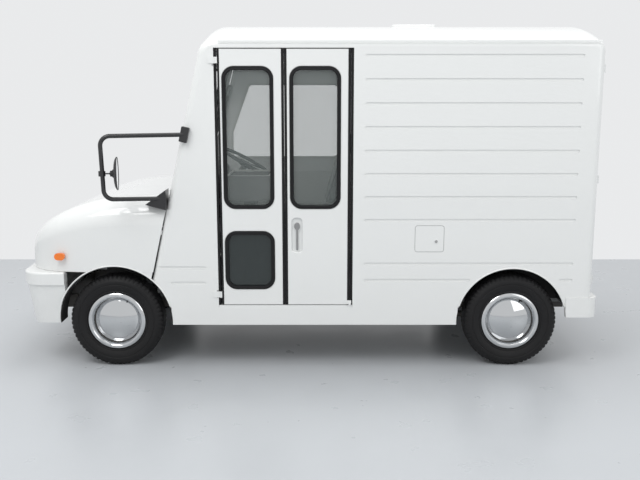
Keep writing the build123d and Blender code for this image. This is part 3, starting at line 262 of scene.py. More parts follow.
CLEAR = Finish("clear_glass", "clear_glass", (0.30, 0.34, 0.33), 0.05, Grain.ORANGE_PEEL, alpha=0.20,
               bump=0.01, spread=0.03)
DARK = Finish("tinted_glass", "dark_glass", (0.030, 0.038, 0.038), 0.06, Grain.ORANGE_PEEL, alpha=0.90,
              bump=0.01, spread=0.03)
LENS = Finish("lamp_lens", "lamp_glass", (0.78, 0.80, 0.80), 0.07, Grain.FLUTED, alpha=0.55, bump=0.5)
AMBER = Finish("amber_lens", "amber_lens", (0.90, 0.20, 0.015), 0.14, Grain.FLUTED, coat=0.5, bump=0.4)
RED = Finish("red_lens", "red_lens", (0.48, 0.012, 0.010), 0.14, Grain.FLUTED, coat=0.5, bump=0.4)
BLACK = Finish("black_plastic", "black_plastic", (0.020, 0.020, 0.021), 0.55, Grain.MOULDED, bump=0.25,
               dust=0.05, shine=0.2)
GREY = Finish("grey_plastic", "grey_plastic", (0.20, 0.20, 0.195), 0.55, Grain.MOULDED, bump=0.25)
PALE = Finish("pale_plastic", "inner_white", (0.62, 0.62, 0.59), 0.50, Grain.MOULDED, bump=0.2)
LINER = Finish("headliner_board", "grey_plastic", (0.30, 0.30, 0.29), 0.85, Grain.LEATHER, bump=0.4)
STEEL = Finish("worn_steel", "lever_metal", (0.36, 0.36, 0.36), 0.38, Grain.BRUSHED, metallic=1.0,
               bump=0.2)
UNDER = Finish("underbody_enamel", "black_frame_paint", (0.022, 0.022, 0.023), 0.5, Grain.CAST, dust=0.5)
IRON = Finish("engine_iron", "cast_engine", (0.10, 0.10, 0.10), 0.6, Grain.CAST, metallic=0.6, bump=0.6)
VINYL = Finish("seat_vinyl", "seat_vinyl", (0.135, 0.135, 0.13), 0.5, Grain.LEATHER, bump=0.45)
PIPING = Finish("seat_piping", "seat_vinyl", (0.055, 0.055, 0.055), 0.45, Grain.LEATHER)
FLOOR = Finish("floor_enamel", "floor_paint", (0.22, 0.225, 0.225), 0.6, Grain.CAST, bump=0.4)
SILVER = Finish("mirror_silver", "wheel_chrome", (0.82, 0.84, 0.85), 0.03, Grain.ORANGE_PEEL,
                metallic=1.0, bump=0.01, spread=0.02)
DRESS: dict[Finish, tuple[str, ...]] = {
    WHITE: (
        "left_cab_panel", "left_cargo_panel", "right_body_side", "roof_panel", "roof_vent",
        "windscreen_frame", "rear_door_frame", "left_fender", "right_fender", "front_panel", "bonnet",
        "driver_door_panel", "left_rear_door", "right_rear_door", "fuel_flap", "front_leaf_panel",
        "rear_leaf_panel", "front_bumper", "rear_bumper", "sill_panels",
    ),
    INNER: ("driver_door_trim",),
    RUBBER: ("body_rubber_seals", "front_leaf_rubbers", "rear_leaf_rubbers"),
    CLEAR: ("windscreen_glass", "rear_leaf_glass", "driver_window_glass"),
    AMBER: ("side_marker_lamps",),
    RED: ("tail_lamps",),
    BLACK: ("wheel_arch_liners", "windscreen_wiper", "steering_wheel"),
    GREY: ("dashboard_and_tray", "seat_pedestal"),
    STEEL: ("door_lever", "rear_door_lever", "steering_rack"),
    UNDER: (
        "chassis_frame", "front_axle_beam", "rear_axle_and_springs", "left_knuckle", "right_knuckle",
    ),
    IRON: ("engine_and_gearbox",),
    FLOOR: ("floor_panel",),
    STAY: ("left_mirror_stay", "right_mirror_stay"),
}


class Palette:
    """Makes each finish's material once and hands it out."""

    def __init__(self) -> None:
        """Start with no material made."""
        self.made: dict[str, bpy.types.Material] = {}

    def get(self, finish: Finish) -> bpy.types.Material:
        """Return the material of a finish."""
        if finish.name not in self.made:
            self.made[finish.name] = finish.build()
        return self.made[finish.name]

    def dress_frame(self) -> None:
        """Give every carried-over CAD node its finish."""
        for finish, names in DRESS.items():
            for name in names:
                node = frame["nodes"][name]
                for holder in node.material_slots:
                    holder.material = self.get(finish)
                log.info("dressed %s in %s", name, finish.name)


PALETTE = Palette()


# ---- surfaces ---------------------------------------------------------------------------
WELD = 2e-6
SLIVER = 1e-6
TUBE_STEPS = 12


def closed_loft(
    name: str,
    sections: np.ndarray,
    finishes: Sequence[Finish],
    body: str,
    bands: np.ndarray | None = None,
    ring: bool = False,
    sharp: float = 38.0,
) -> bpy.types.Object:
    """Make a closed skin over a row of closed sections.

    Quad (i, j) joins points j and j+1 of section i to the same points of section i+1. Unless the
    row closes on itself, a ring of points at each end section's middle closes the end.

    Args:
        name: The piece's name.
        sections: Points, shaped (rows, points, 3).
        finishes: The finishes that bands choose from.
        body: The CAD body that the piece rides on.
        bands: Index into finishes for each point of a section, or None for the first throughout.
        ring: Whether the last section joins the first.
        sharp: Angle in degrees past which an edge is sharp.

    Returns:
        The finished piece.
    """
    if not ring:
        ends = [np.repeat(s.mean(0)[None], len(s), 0)[None] for s in (sections[0], sections[-1])]
        sections = np.concatenate([ends[0], sections, ends[1]])
    rows, count = sections.shape[:2]
    i, j = np.meshgrid(np.arange(rows if ring else rows - 1), np.arange(count), indexing="ij")
    i2, j2 = (i + 1) % rows, (j + 1) % count
    quads = np.stack([i * count + j, i2 * count + j, i2 * count + j2, i * count + j2], -1).reshape(-1, 4)
    mesh = bpy.data.meshes.new(name)
    mesh.vertices.add(rows * count)
    mesh.vertices.foreach_set("co", sections.reshape(-1).astype(np.float32))
    mesh.loops.add(quads.size)
    mesh.loops.foreach_set("vertex_index", quads.reshape(-1).astype(np.int32))
    mesh.polygons.add(len(quads))
    mesh.polygons.foreach_set("loop_start", np.arange(0, quads.size, 4, dtype=np.int32))
    for finish in finishes:
        mesh.materials.append(PALETTE.get(finish))
    if bands is not None:
        mesh.polygons.foreach_set("material_index", bands[j.reshape(-1)].astype(np.int32))
    mesh.update(calc_edges=True)
    shell = bmesh.new()
    shell.from_mesh(mesh)
    bmesh.ops.remove_doubles(shell, verts=shell.verts, dist=WELD)
    bmesh.ops.dissolve_degenerate(shell, edges=shell.edges, dist=SLIVER)
    bmesh.ops.recalc_face_normals(shell, faces=shell.faces)
    shell.to_mesh(mesh)
    shell.free()
    mesh.polygons.foreach_set("use_smooth", np.ones(len(mesh.polygons), bool))
    mesh.set_sharp_from_angle(angle=math.radians(sharp))
    piece = bpy.data.objects.new(name, mesh)
    bpy.context.scene.collection.objects.link(piece)
    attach(piece, body)
    log.info("built %s with %d faces", name, len(mesh.polygons))
    return piece


def across(axis: np.ndarray) -> tuple[np.ndarray, np.ndarray]:
    """Return two unit vectors square to an axis and to each other."""
    helper = np.array([0.0, 0.0, 1.0]) if abs(axis[2]) < 0.9 else np.array([1.0, 0.0, 0.0])
    first = np.cross(axis, helper)
    first /= np.linalg.norm(first)
    return first, np.cross(axis, first)


def turned(
    name: str,
    profile: Sequence[Point],
    centre: Point,
    axis: Point,
    finishes: Sequence[Finish],
    body: str,
    bands: Sequence[int] | None = None,
    steps: int = 96,
    cut: np.ndarray | None = None,
    sharp: float = 38.0,
) -> bpy.types.Object:
    """Turn a closed profile about an axis.

    A point (r, t) at angle a lies at centre + axis * t + r * (cos a * u + sin a * v), where u and v
    are square to the axis. Points on the axis merge into poles.

    Args:
        name: The piece's name.
        profile: Closed loop of (radius, distance along the axis).
        centre: A point on the axis.
        axis: The axis direction.
        finishes: The finishes that bands choose from.
        body: The CAD body that the piece rides on.
        bands: Index into finishes for each profile point's band.
        steps: Number of angles.
        cut: Depth taken off the radius, shaped (steps, profile points).
        sharp: Angle in degrees past which an edge is sharp.

    Returns:
        The finished piece.
    """
    line = np.array(profile, float)
    way = np.array(axis, float)
    first, second = across(way)
    angle = np.arange(steps) / steps * 2 * np.pi
    spoke = np.cos(angle)[:, None] * first + np.sin(angle)[:, None] * second
    radius = np.repeat(line[None, :, 0], steps, 0)
    if cut is not None:
        radius = radius - cut
    points = np.array(centre) + way * line[None, :, 1, None] + spoke[:, None] * radius[..., None]
    choice = None if bands is None else np.array(bands)
    return closed_loft(name, points, finishes, body, choice, ring=True, sharp=sharp)


def tube(
    name: str,
    path: np.ndarray,
    radius: float | tuple[float, float],
    finish: Finish,
    body: str,
    normal: Point,
    ring: bool = False,
) -> bpy.types.Object:
    """Carry an ellipse along a path.

    At each point the tangent is the central difference, the side is normal x tangent, and the
    section is side * a * cos p + rise * b * sin p, with rise = tangent x side.

    Args:
        name: The piece's name.
        path: Points, shaped (count, 3).
        radius: The radius, or the half sizes across and along the normal.
        finish: The finish.
        body: The CAD body that the piece rides on.
        normal: A direction that is nowhere along the path.
        ring: Whether the path closes on itself.

    Returns:
        The finished piece.
    """
    wide, high = radius if isinstance(radius, tuple) else (radius, radius)
    ahead = np.roll(path, -1, 0) - np.roll(path, 1, 0)
    if not ring:
        ahead[0] = path[1] - path[0]
        ahead[-1] = path[-1] - path[-2]
    ahead /= np.linalg.norm(ahead, axis=1)[:, None]
    side = np.cross(np.array(normal, float), ahead)
    side /= np.linalg.norm(side, axis=1)[:, None]
    rise = np.cross(ahead, side)
    turn = np.arange(TUBE_STEPS) / TUBE_STEPS * 2 * np.pi
    points = (
        path[:, None]
        + side[:, None] * (wide * np.cos(turn))[None, :, None]
        + rise[:, None] * (high * np.sin(turn))[None, :, None]
    )
    return closed_loft(name, points, [finish], body, ring=ring, sharp=60)


def rounded_loop(width: float, height: float, corner: float, steps: int) -> np.ndarray:
    """Return a rounded rectangle's outline about (0, 0), shaped (4 * steps, 2).

    Each corner is a quarter circle: its centre plus corner * (cos a, sin a).

    Args:
        width: The whole width.
        height: The whole height.
        corner: The corner radius.
        steps: Points on each corner.

    Returns:
        The points, anticlockwise.
    """
    turn = np.linspace(0, np.pi / 2, steps)
    parts = []
    for quarter, (sx, sy) in enumerate(((1, 1), (-1, 1), (-1, -1), (1, -1))):
        centre = np.array([sx * (width / 2 - corner), sy * (height / 2 - corner)])
        spin = turn + quarter * np.pi / 2
        parts.append(centre + corner * np.stack([np.cos(spin), np.sin(spin)], -1))
    return np.concatenate(parts)


def upright(loop: np.ndarray, x: float, y: float, z: float) -> np.ndarray:
    """Stand a flat outline in an upright plane along X, with its middle at (x, y, z)."""
    return np.stack([loop[:, 0] + x, np.full(len(loop), y), loop[:, 1] + z], -1)


def level(loop: np.ndarray, x: float, y: float, z: float) -> np.ndarray:
    """Lay a flat outline in a level plane, with its middle at (x, y, z)."""
    return np.stack([loop[:, 0] + x, loop[:, 1] + y, np.full(len(loop), z)], -1)


def arc(centre: Point, radius: float, start: float, end: float, steps: int) -> np.ndarray:
    """Return points of an arc in an upright plane along X, angles in degrees from +X to +Z."""
    turn = np.radians(np.linspace(start, end, steps))
    flat = np.zeros_like(turn)
    return np.array(centre) + radius * np.stack([np.cos(turn), flat, np.sin(turn)], -1)


def slab(
    name: str, centre: Point, size: Point, finish: Finish, body: str, power: float,
) -> bpy.types.Object:
    """Make a block with rolled edges, as a superellipsoid.

    With s(x) = sign(x) * |x| ** power, the point at longitude a and latitude b is half the size
    times (s(cos b) s(cos a), s(cos b) s(sin a), s(sin b)).

    Args:
        name: The piece's name.
        centre: The block's middle.
        size: Its length, width and height.
        finish: The finish.
        body: The CAD body that the piece rides on.
        power: The exponent, smaller for squarer edges.

    Returns:
        The finished piece.
    """
    block = place_block(pillow(power, 32, 20), centre, size, None)
    return closed_loft(name, block, [finish], body, sharp=80)


def signed_power(value: np.ndarray, power: float) -> np.ndarray:
    """Raise the size of each value to a power and keep its sign."""
    return np.sign(value) * np.abs(value) ** power


def pillow(power: float, around: int, rise: int) -> np.ndarray:
    """Return a unit superellipsoid's grid of points, shaped (rise, around, 3)."""
    longitude = np.arange(around) / around * 2 * np.pi
    latitude = np.linspace(-np.pi / 2, np.pi / 2, rise)
    b, a = np.meshgrid(latitude, longitude, indexing="ij")
    girth = signed_power(np.cos(b), power)
    return np.stack([
        girth * signed_power(np.cos(a), power),
        girth * signed_power(np.sin(a), power),
        signed_power(np.sin(b), power),
    ], -1)


def place_block(grid: np.ndarray, centre: Point, size: Point, tilt: Matrix | None) -> np.ndarray:
    """Scale a unit grid to a size, turn it, and move it to its centre."""
    points = grid * np.array(size) / 2
    if tilt is not None:
        points = points @ np.array(tilt.to_3x3()).T
    return points + np.array(centre)


# ---- wheels -----------------------------------------------------------------------------
@dataclass
class RoadWheel:
    """One tyre with its rim, plated trim ring, domed cap and valve.

    A profile's points are (radius, distance out from the wheel's middle).
    """

    axle: Axle
    side: Side
    lugs: int = 62
    lug_steps: int = 6
    lug_share: float = 0.8
    shoulder_width: float = 0.036
    shoulder_drop: float = 0.014
    groove: float = 0.006
    groove_mids: tuple[float, ...] = (0.030, 0.010, -0.010, -0.030)
    groove_mouth: float = 0.0028
    groove_foot: float = 0.0022
    cap_radius: float = 0.126
    cap_rise: float = 0.036
    valve_angle: float = 62.0
    valve_radius: float = 0.1305

    def build(self) -> None:
        """Make the tyre and the wheel in place of their CAD nodes."""
        low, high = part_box(f"{self.axle}_{self.side}_tyre")
        centre = (low + high) / 2
        outward = (0.0, self.side.sign, 0.0)
        self.tyre(centre, outward, (high.z - low.z) / 2, (high.y - low.y) / 2)
        self.rim(centre, outward, (high.y - low.y) / 2)

    def tyre(self, centre: Vector, outward: Point, radius: float, half: float) -> None:
        """Make the tyre: bulged walls with moulded rings, lugged shoulders and four grooves.

        Each lug takes lug_steps angles, and two of them are cut down at each shoulder. The inner
        shoulder's cuts fall half a lug later than the outer shoulder's.

        Args:
            centre: The wheel's middle.
            outward: Direction of the outer wall.
            radius: The tread's radius.
            half: Half the tyre's width.
        """
        wall = [
            (-0.099, -0.016), (-0.094, -0.010), (-0.091, -0.006), (-0.089, -0.0058), (-0.086, -0.008),
            (-0.076, -0.003), (-0.062, -0.0002), (-0.052, 0.0), (-0.050, -0.0018), (-0.046, -0.0018),
            (-0.044, -0.0002), (-0.034, -0.0012), (-0.029, -0.0022), (-0.027, -0.0042), (-0.020, -0.0066),
            (-0.012, -0.0120), (-0.006, -0.0175), (-0.0018, -0.0225), (0.0, -0.0265),
        ]
        outer = [(radius + r, half + t) for r, t in wall]
        tread: list[Span] = []
        foot = radius - self.groove
        for mid in self.groove_mids:
            tread += [(radius, mid + self.groove_mouth), (foot, mid + self.groove_foot),
                      (foot, mid - self.groove_foot), (radius, mid - self.groove_mouth)]
        inner = [(r, -t) for r, t in reversed(outer)]
        profile = outer + tread + inner
        steps = self.lugs * self.lug_steps
        reach, along = np.array(profile).T
        shoulder = (np.abs(along) > half - self.shoulder_width) & (reach > radius - self.shoulder_drop)
        beat = np.arange(steps) % self.lug_steps
        depth = self.groove * self.lug_share
        cut = np.zeros((steps, len(profile)))
        cut[:, shoulder & (along > 0)] = depth * (beat < 2)[:, None]
        cut[:, shoulder & ~(along > 0)] = depth * ((beat >= 3) & (beat < 5))[:, None]
        piece = turned(
            f"{self.axle}_{self.side}_tyre_detail", profile, centre, outward, [TYRE],
            f"{self.axle}_{self.side}_wheel", steps=steps, cut=cut,
        )
        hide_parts(f"{self.axle}_{self.side}_tyre")

    def rim(self, centre: Vector, outward: Point, half: float) -> None:
        """Make the black rim, the plated trim ring and the domed cap, and the valve between them.

        The cap is part of a sphere: t = half - R + sqrt(R * R - r * r), where R gives it the rise
        cap_rise over the radius cap_radius.

        Args:
            centre: The wheel's middle.
            outward: Direction of the outer face.
            half: Half the tyre's width.
        """
        dome, rise = self.cap_radius, self.cap_rise
        sphere = (dome**2 + rise**2) / (2 * rise)
        radii = dome * np.linspace(0, 1, 14)
        heights = half - sphere + np.sqrt(sphere**2 - radii**2)
        cap = list(zip(radii.tolist(), heights.tolist()))
        foot = half - rise
        cap += [(dome + 0.0012, foot - 0.003), (dome - 0.002, foot - 0.007)]
        well = [(dome + 0.003, foot - 0.008), (dome + 0.007, foot - 0.006)]
        ring = [
            (0.1335, foot - 0.002), (0.1338, foot + 0.010), (0.1355, foot + 0.021), (0.139, foot + 0.0285),
            (0.1445, foot + 0.0325), (0.151, foot + 0.0330), (0.158, foot + 0.0305), (0.164, foot + 0.0262),
            (0.1668, foot + 0.0225), (0.1668, foot + 0.0190),
        ]
        barrel = [
            (0.158, half - 0.020), (0.150, half - 0.030), (0.148, 0.0), (0.150, -half + 0.024),
            (0.160, -half + 0.016), (0.1668, -half + 0.011), (0.160, -half + 0.009),
            (0.144, -half + 0.018), (0.141, 0.010), (0.060, 0.006), (0.044, 0.004), (0.040, -0.034),
            (0.014, -0.034), (0.014, 0.024), (0.0, 0.024),
        ]
        profile = cap + well + ring + barrel
        bands = [0] * len(cap) + [1] * len(well) + [0] * len(ring) + [1] * len(barrel)
        piece = turned(
            f"{self.axle}_{self.side}_rim_and_cap", profile, centre, outward, [CHROME, UNDER],
            f"{self.axle}_{self.side}_wheel", bands, steps=160, sharp=30,
        )
        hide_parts(f"{self.axle}_{self.side}_wheel")
        angle = math.radians(self.valve_angle)
        spoke = Vector((math.cos(angle) * self.valve_radius, 0, math.sin(angle) * self.valve_radius))
        root = Vector(centre) + spoke
        stem = [(0.0, 0.0), (0.0042, 0.0), (0.0042, 0.012), (0.0034, 0.014), (0.0034, 0.026), (0.0, 0.027)]
        seat = root + Vector(outward) * (foot - 0.008)
        turned(f"{self.axle}_{self.side}_valve", stem, seat, outward, [RUBBER],
               f"{self.axle}_{self.side}_wheel", steps=16)


# ---- mirrors ----------------------------------------------------------------------------
@dataclass
class StalkMirror:
    """One round mirror head, with its case, hub and glass."""

    side: Side
    turn: float = 10.0
    reach: float = 0.036
    glass_radius: float = 0.0859

    def build(self) -> None:
        """Make the case, the hub and the glass in place of the CAD head."""
        node = f"{self.side}_mirror_head"
        turn = math.radians(self.turn)
        way = (math.cos(turn), -self.side.sign * math.sin(turn), 0.0)
        joints = frame["record"]["behaviour"]["joints"]
        ball = next(j["pos_m"] for j in joints if j["name"] == f"{self.side}_mirror_swivel")
        face = Vector(ball) + Vector(way) * self.reach
        case = [
            (0.0, -0.022), (0.020, -0.022), (0.034, -0.0205), (0.056, -0.0185), (0.074, -0.0145),
            (0.086, -0.0085), (0.0905, -0.0030), (0.0905, -0.0006), (0.0890, 0.0), (0.0868, -0.0006),
            (0.0862, -0.0030), (0.0, -0.0030),
        ]
        hub = [
            (0.0092, -0.0395), (0.0155, -0.0395), (0.0172, -0.0300), (0.0260, -0.0215),
            (0.0092, -0.0215),
        ]
        piece = turned(f"{self.side}_mirror_case", case, face, way, [CASE], node)
        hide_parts(node)
        turned(f"{self.side}_mirror_hub", hub, face, way, [CASE], node, steps=48)
        share = np.linspace(0, 1, 10)
        glass = [(self.glass_radius * t, -0.0008 - 0.0016 * t * t) for t in share]
        glass += [(self.glass_radius, -0.0034), (0.0, -0.0034)]
        turned(f"{self.side}_mirror_glass", glass, face, way, [SILVER], node, sharp=60)


# ---- lamps and grille ---------------------------------------------------------------------
@dataclass
class NoseFittings:
    """Headlamps with rims, reflectors and lenses, and the grille's slats."""

    slats: int = 6
    slat_pitch: float = 0.017
    slat_half_width: float = 0.235
    slat_sweep: float = 0.012
    slat_set_in: float = 0.004
    rim_width: float = 0.0103

    def build(self) -> None:
        """Make the headlamps and the slats."""
        low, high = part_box("headlamps")
        radius = (high.z - low.z) / 2
        z = (low.z + high.z) / 2
        for side in Side:
            self.lamp(side, (high.x, side.sign * (high.y - radius), z), radius, high.x - low.x)
        self.grille(z)

    def lamp(self, side: Side, centre: Point, radius: float, depth: float) -> None:
        """Make one headlamp: plated rim, dished reflector and domed lens.

        Args:
            side: The lamp's side.
            centre: Middle of the lamp's back.
            radius: The rim's radius.
            depth: How far the lamp stands out.
        """
        rim = [
            (radius, 0.0), (radius, depth * 0.45), (radius - 0.003, depth * 0.62),
            (radius - 0.008, depth * 0.62), (radius - 0.010, depth * 0.40), (radius - 0.010, 0.0),
        ]
        piece = turned(f"{side}_headlamp_rim", rim, centre, FORWARD, [CHROME], "chassis", steps=72)
        if side is Side.LEFT:
            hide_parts("headlamps")
        share = np.linspace(0, 1, 10)
        inside = radius - self.rim_width
        dish = [(inside * t, 0.0012 + 0.004 * t * t) for t in share]
        dish += [(inside, 0.0004), (0.0, 0.0004)]
        turned(f"{side}_headlamp_reflector", dish, centre, FORWARD, [SILVER], "chassis", steps=72)
        front = depth - 0.0004
        dome = front - depth * 0.5
        lens = [(inside * t, front - dome * t * t) for t in share]
        lens += [(inside * t, front - 0.0022 - dome * t * t) for t in share[::-1]]
        turned(f"{side}_headlamp_lens", lens, centre, FORWARD, [LENS], "chassis", steps=72)

    def grille(self, z: float) -> None:
        """Make the slats across the front panel between the lamps.

        A slat runs along (x + sweep * s * s, half width * s, height), with s from -1 to 1.

        Args:
            z: Height of the slats' middle.
        """
        low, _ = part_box("front_panel")
        x = low.x + self.slat_set_in
        s = np.linspace(-1, 1, 33)
        for k in range(self.slats):
            height = z + (k - (self.slats - 1) / 2) * self.slat_pitch
            path = np.stack([
                x + self.slat_sweep * s**2, self.slat_half_width * s, np.full_like(s, height),
            ], -1)
            tube(f"grille_slat_{k + 1}", path, (0.0030, 0.0052), BLACK, "chassis", UP)


# ---- body trim ------------------------------------------------------------------------------
@dataclass
class BodyTrim:
    """Rolled arch lips, the roof's lining and louvres, glazing, seals, locks and screws.

    A window is given by the heights of its foot and its head.
    """

    front_arch: float = 0.325
    rear_arch: float = 0.312
    arch_plane: float = 0.6925
    arch_foot: float = 0.094
    crown: float = 1.940
    rail: float = 1.822
    half: float = 0.6915
    board_half: float = 0.60
    board_ends: Span = (-0.44, 1.56)
    board_gap: float = 0.030
    board_thickness: float = 0.005
    louvres: int = 5
    louvre_bow: float = 0.010
    front_lower_window: Span = (0.457, 0.789)
    front_upper_window: Span = (0.914, 1.685)
    rear_window: Span = (0.916, 1.685)
    window_width: float = 0.278
    bead_inset: float = 0.020
    bead_plane: float = -0.6945
    pane_overlap: float = 0.0205
    flap_plane: float = -0.6909
    screw_x: float = -0.5085
    screw_heights: tuple[float, ...] = (0.411, 0.447, 1.698, 1.734)

    def build(self) -> None:
        """Make all of the trim."""
        self.arches()
        self.headliner()
        self.vent()
        self.beads()
        self.panes()
        self.locks()

    def arches(self) -> None:
        """Roll a lip round each wheel arch."""
        for side in Side:
            for axle, radius in ((Axle.FRONT, self.front_arch), (Axle.REAR, self.rear_arch)):
                low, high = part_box(f"{axle}_{side}_tyre")
                centre = ((low.x + high.x) / 2, side.sign * self.arch_plane, (low.z + high.z) / 2)
                start = math.degrees(math.asin(self.arch_foot / radius))
                path = arc(centre, radius + 0.001, start, 180 - start, 72)
                tube(f"{axle}_{side}_arch_lip", path, 0.0042, WHITE, "chassis", RIGHTWARD)

    def headliner(self) -> None:
        """Line the roof with a board that follows its arch.

        The height is z = crown - R + sqrt(R * R - y * y), with R the radius of the arch through
        both rails and the crown, set in by the roof's skin and a gap.
        """
        rise = self.crown - self.rail
        big = (self.half**2 + rise**2) / (2 * rise)
        y = np.linspace(-self.board_half, self.board_half, 49)
        top = self.crown - big + np.sqrt(big**2 - y**2) - self.board_gap
        x = np.linspace(*self.board_ends, 21)
        loop_y = np.concatenate([y, y[::-1]])
        loop_z = np.concatenate([top, top[::-1] - self.board_thickness])
        rows = np.stack([
            np.repeat(x[:, None], len(loop_y), 1),
            np.repeat(loop_y[None], len(x), 0),
            np.repeat(loop_z[None], len(x), 0),
        ], -1)
        closed_loft("headliner_board", rows, [LINER], "chassis")

    def vent(self) -> None:
        """Raise louvre blades on the roof vent's lid."""
        low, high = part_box("roof_vent")
        y = np.linspace(low.y + 0.03, high.y - 0.03, 25)
        top = high.z - 0.0032 - self.louvre_bow * (y / 0.30) ** 2
        for k in range(self.louvres):
            x = low.x + (high.x - low.x) * (k + 1) / (self.louvres + 1)
            path = np.stack([np.full_like(y, x), y, top], -1)
            tube(f"vent_louvre_{k + 1}", path, (0.009, 0.0028), WHITE, "chassis", UP)

    def beads(self) -> None:
        """Press a locking bead into each window rubber."""
        for leaf, windows in (
            ("front_leaf", (self.front_lower_window, self.front_upper_window)),
            ("rear_leaf", (self.rear_window,)),
        ):
            low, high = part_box(f"{leaf}_glass")
            for k, (foot, head) in enumerate(windows):
                height = head - foot - self.bead_inset
                loop = rounded_loop(self.window_width - self.bead_inset, height, 0.055, 14)
                path = upright(loop, (low.x + high.x) / 2, self.bead_plane, (foot + head) / 2)
                tube(f"{leaf}_bead_{k + 1}", path, (0.0032, 0.0018), RUBBER, leaf, RIGHTWARD, ring=True)

    def panes(self) -> None:
        """Glaze the front leaf, clear above and tinted below, and seal the fuel flap.

        A pane is four copies of its outline: two at full size, and two outside them at 0.994 of
        it, which round its edges.
        """
        low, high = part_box("front_leaf_glass")
        middle = (low.x + high.x) / 2
        y = (low.y + high.y) / 2
        for name, foot, head, finish in (
            ("upper_pane", self.front_upper_window[0] + self.pane_overlap, high.z, CLEAR),
            ("lower_pane", low.z, self.front_lower_window[1] - self.pane_overlap, DARK),
        ):
            loop = rounded_loop(high.x - low.x, head - foot, 0.044, 14)
            rows = np.array([
                upright(loop * share, middle, y + step, (foot + head) / 2)
                for share, step in ((0.994, -0.0019), (1.0, -0.0010), (1.0, 0.0010), (0.994, 0.0019))
            ])
            piece = closed_loft(f"front_leaf_{name}", rows, [finish], "front_leaf")
            if name == "upper_pane":
                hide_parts("front_leaf_glass")
        seal = rounded_loop(0.1620, 0.1490, 0.0140, 10)
        low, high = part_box("fuel_flap")
        path = upright(seal, (low.x + high.x) / 2, self.flap_plane, (low.z + high.z) / 2)
        tube("fuel_flap_seal", path, (0.0012, 0.0008), RUBBER, "chassis", RIGHTWARD, ring=True)

    def locks(self) -> None:
        """Set the fuel flap's lock and the screw heads of the door post."""
        lock = [
            (0.0, 0.0), (0.009, 0.0), (0.009, 0.0018), (0.0075, 0.0030), (0.0028, 0.0030),
            (0.0, 0.0020),
        ]
        low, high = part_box("fuel_flap")
        seat = (high.x - 0.0425, low.y + 0.0026, low.z + 0.0585)
        turned("fuel_flap_lock", lock, seat, LEFTWARD, [STEEL], "fuel_flap", steps=40)
        screw = [(0.0, 0.0), (0.0050, 0.0), (0.0046, 0.0012), (0.0030, 0.0022), (0.0, 0.0026)]
        low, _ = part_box("left_cab_panel")
        for k, z in enumerate(self.screw_heights):
            seat = (self.screw_x, low.y + 0.0116, z)
            turned(f"post_screw_{k + 1}", screw, seat, LEFTWARD, [STEEL], "chassis", steps=24)


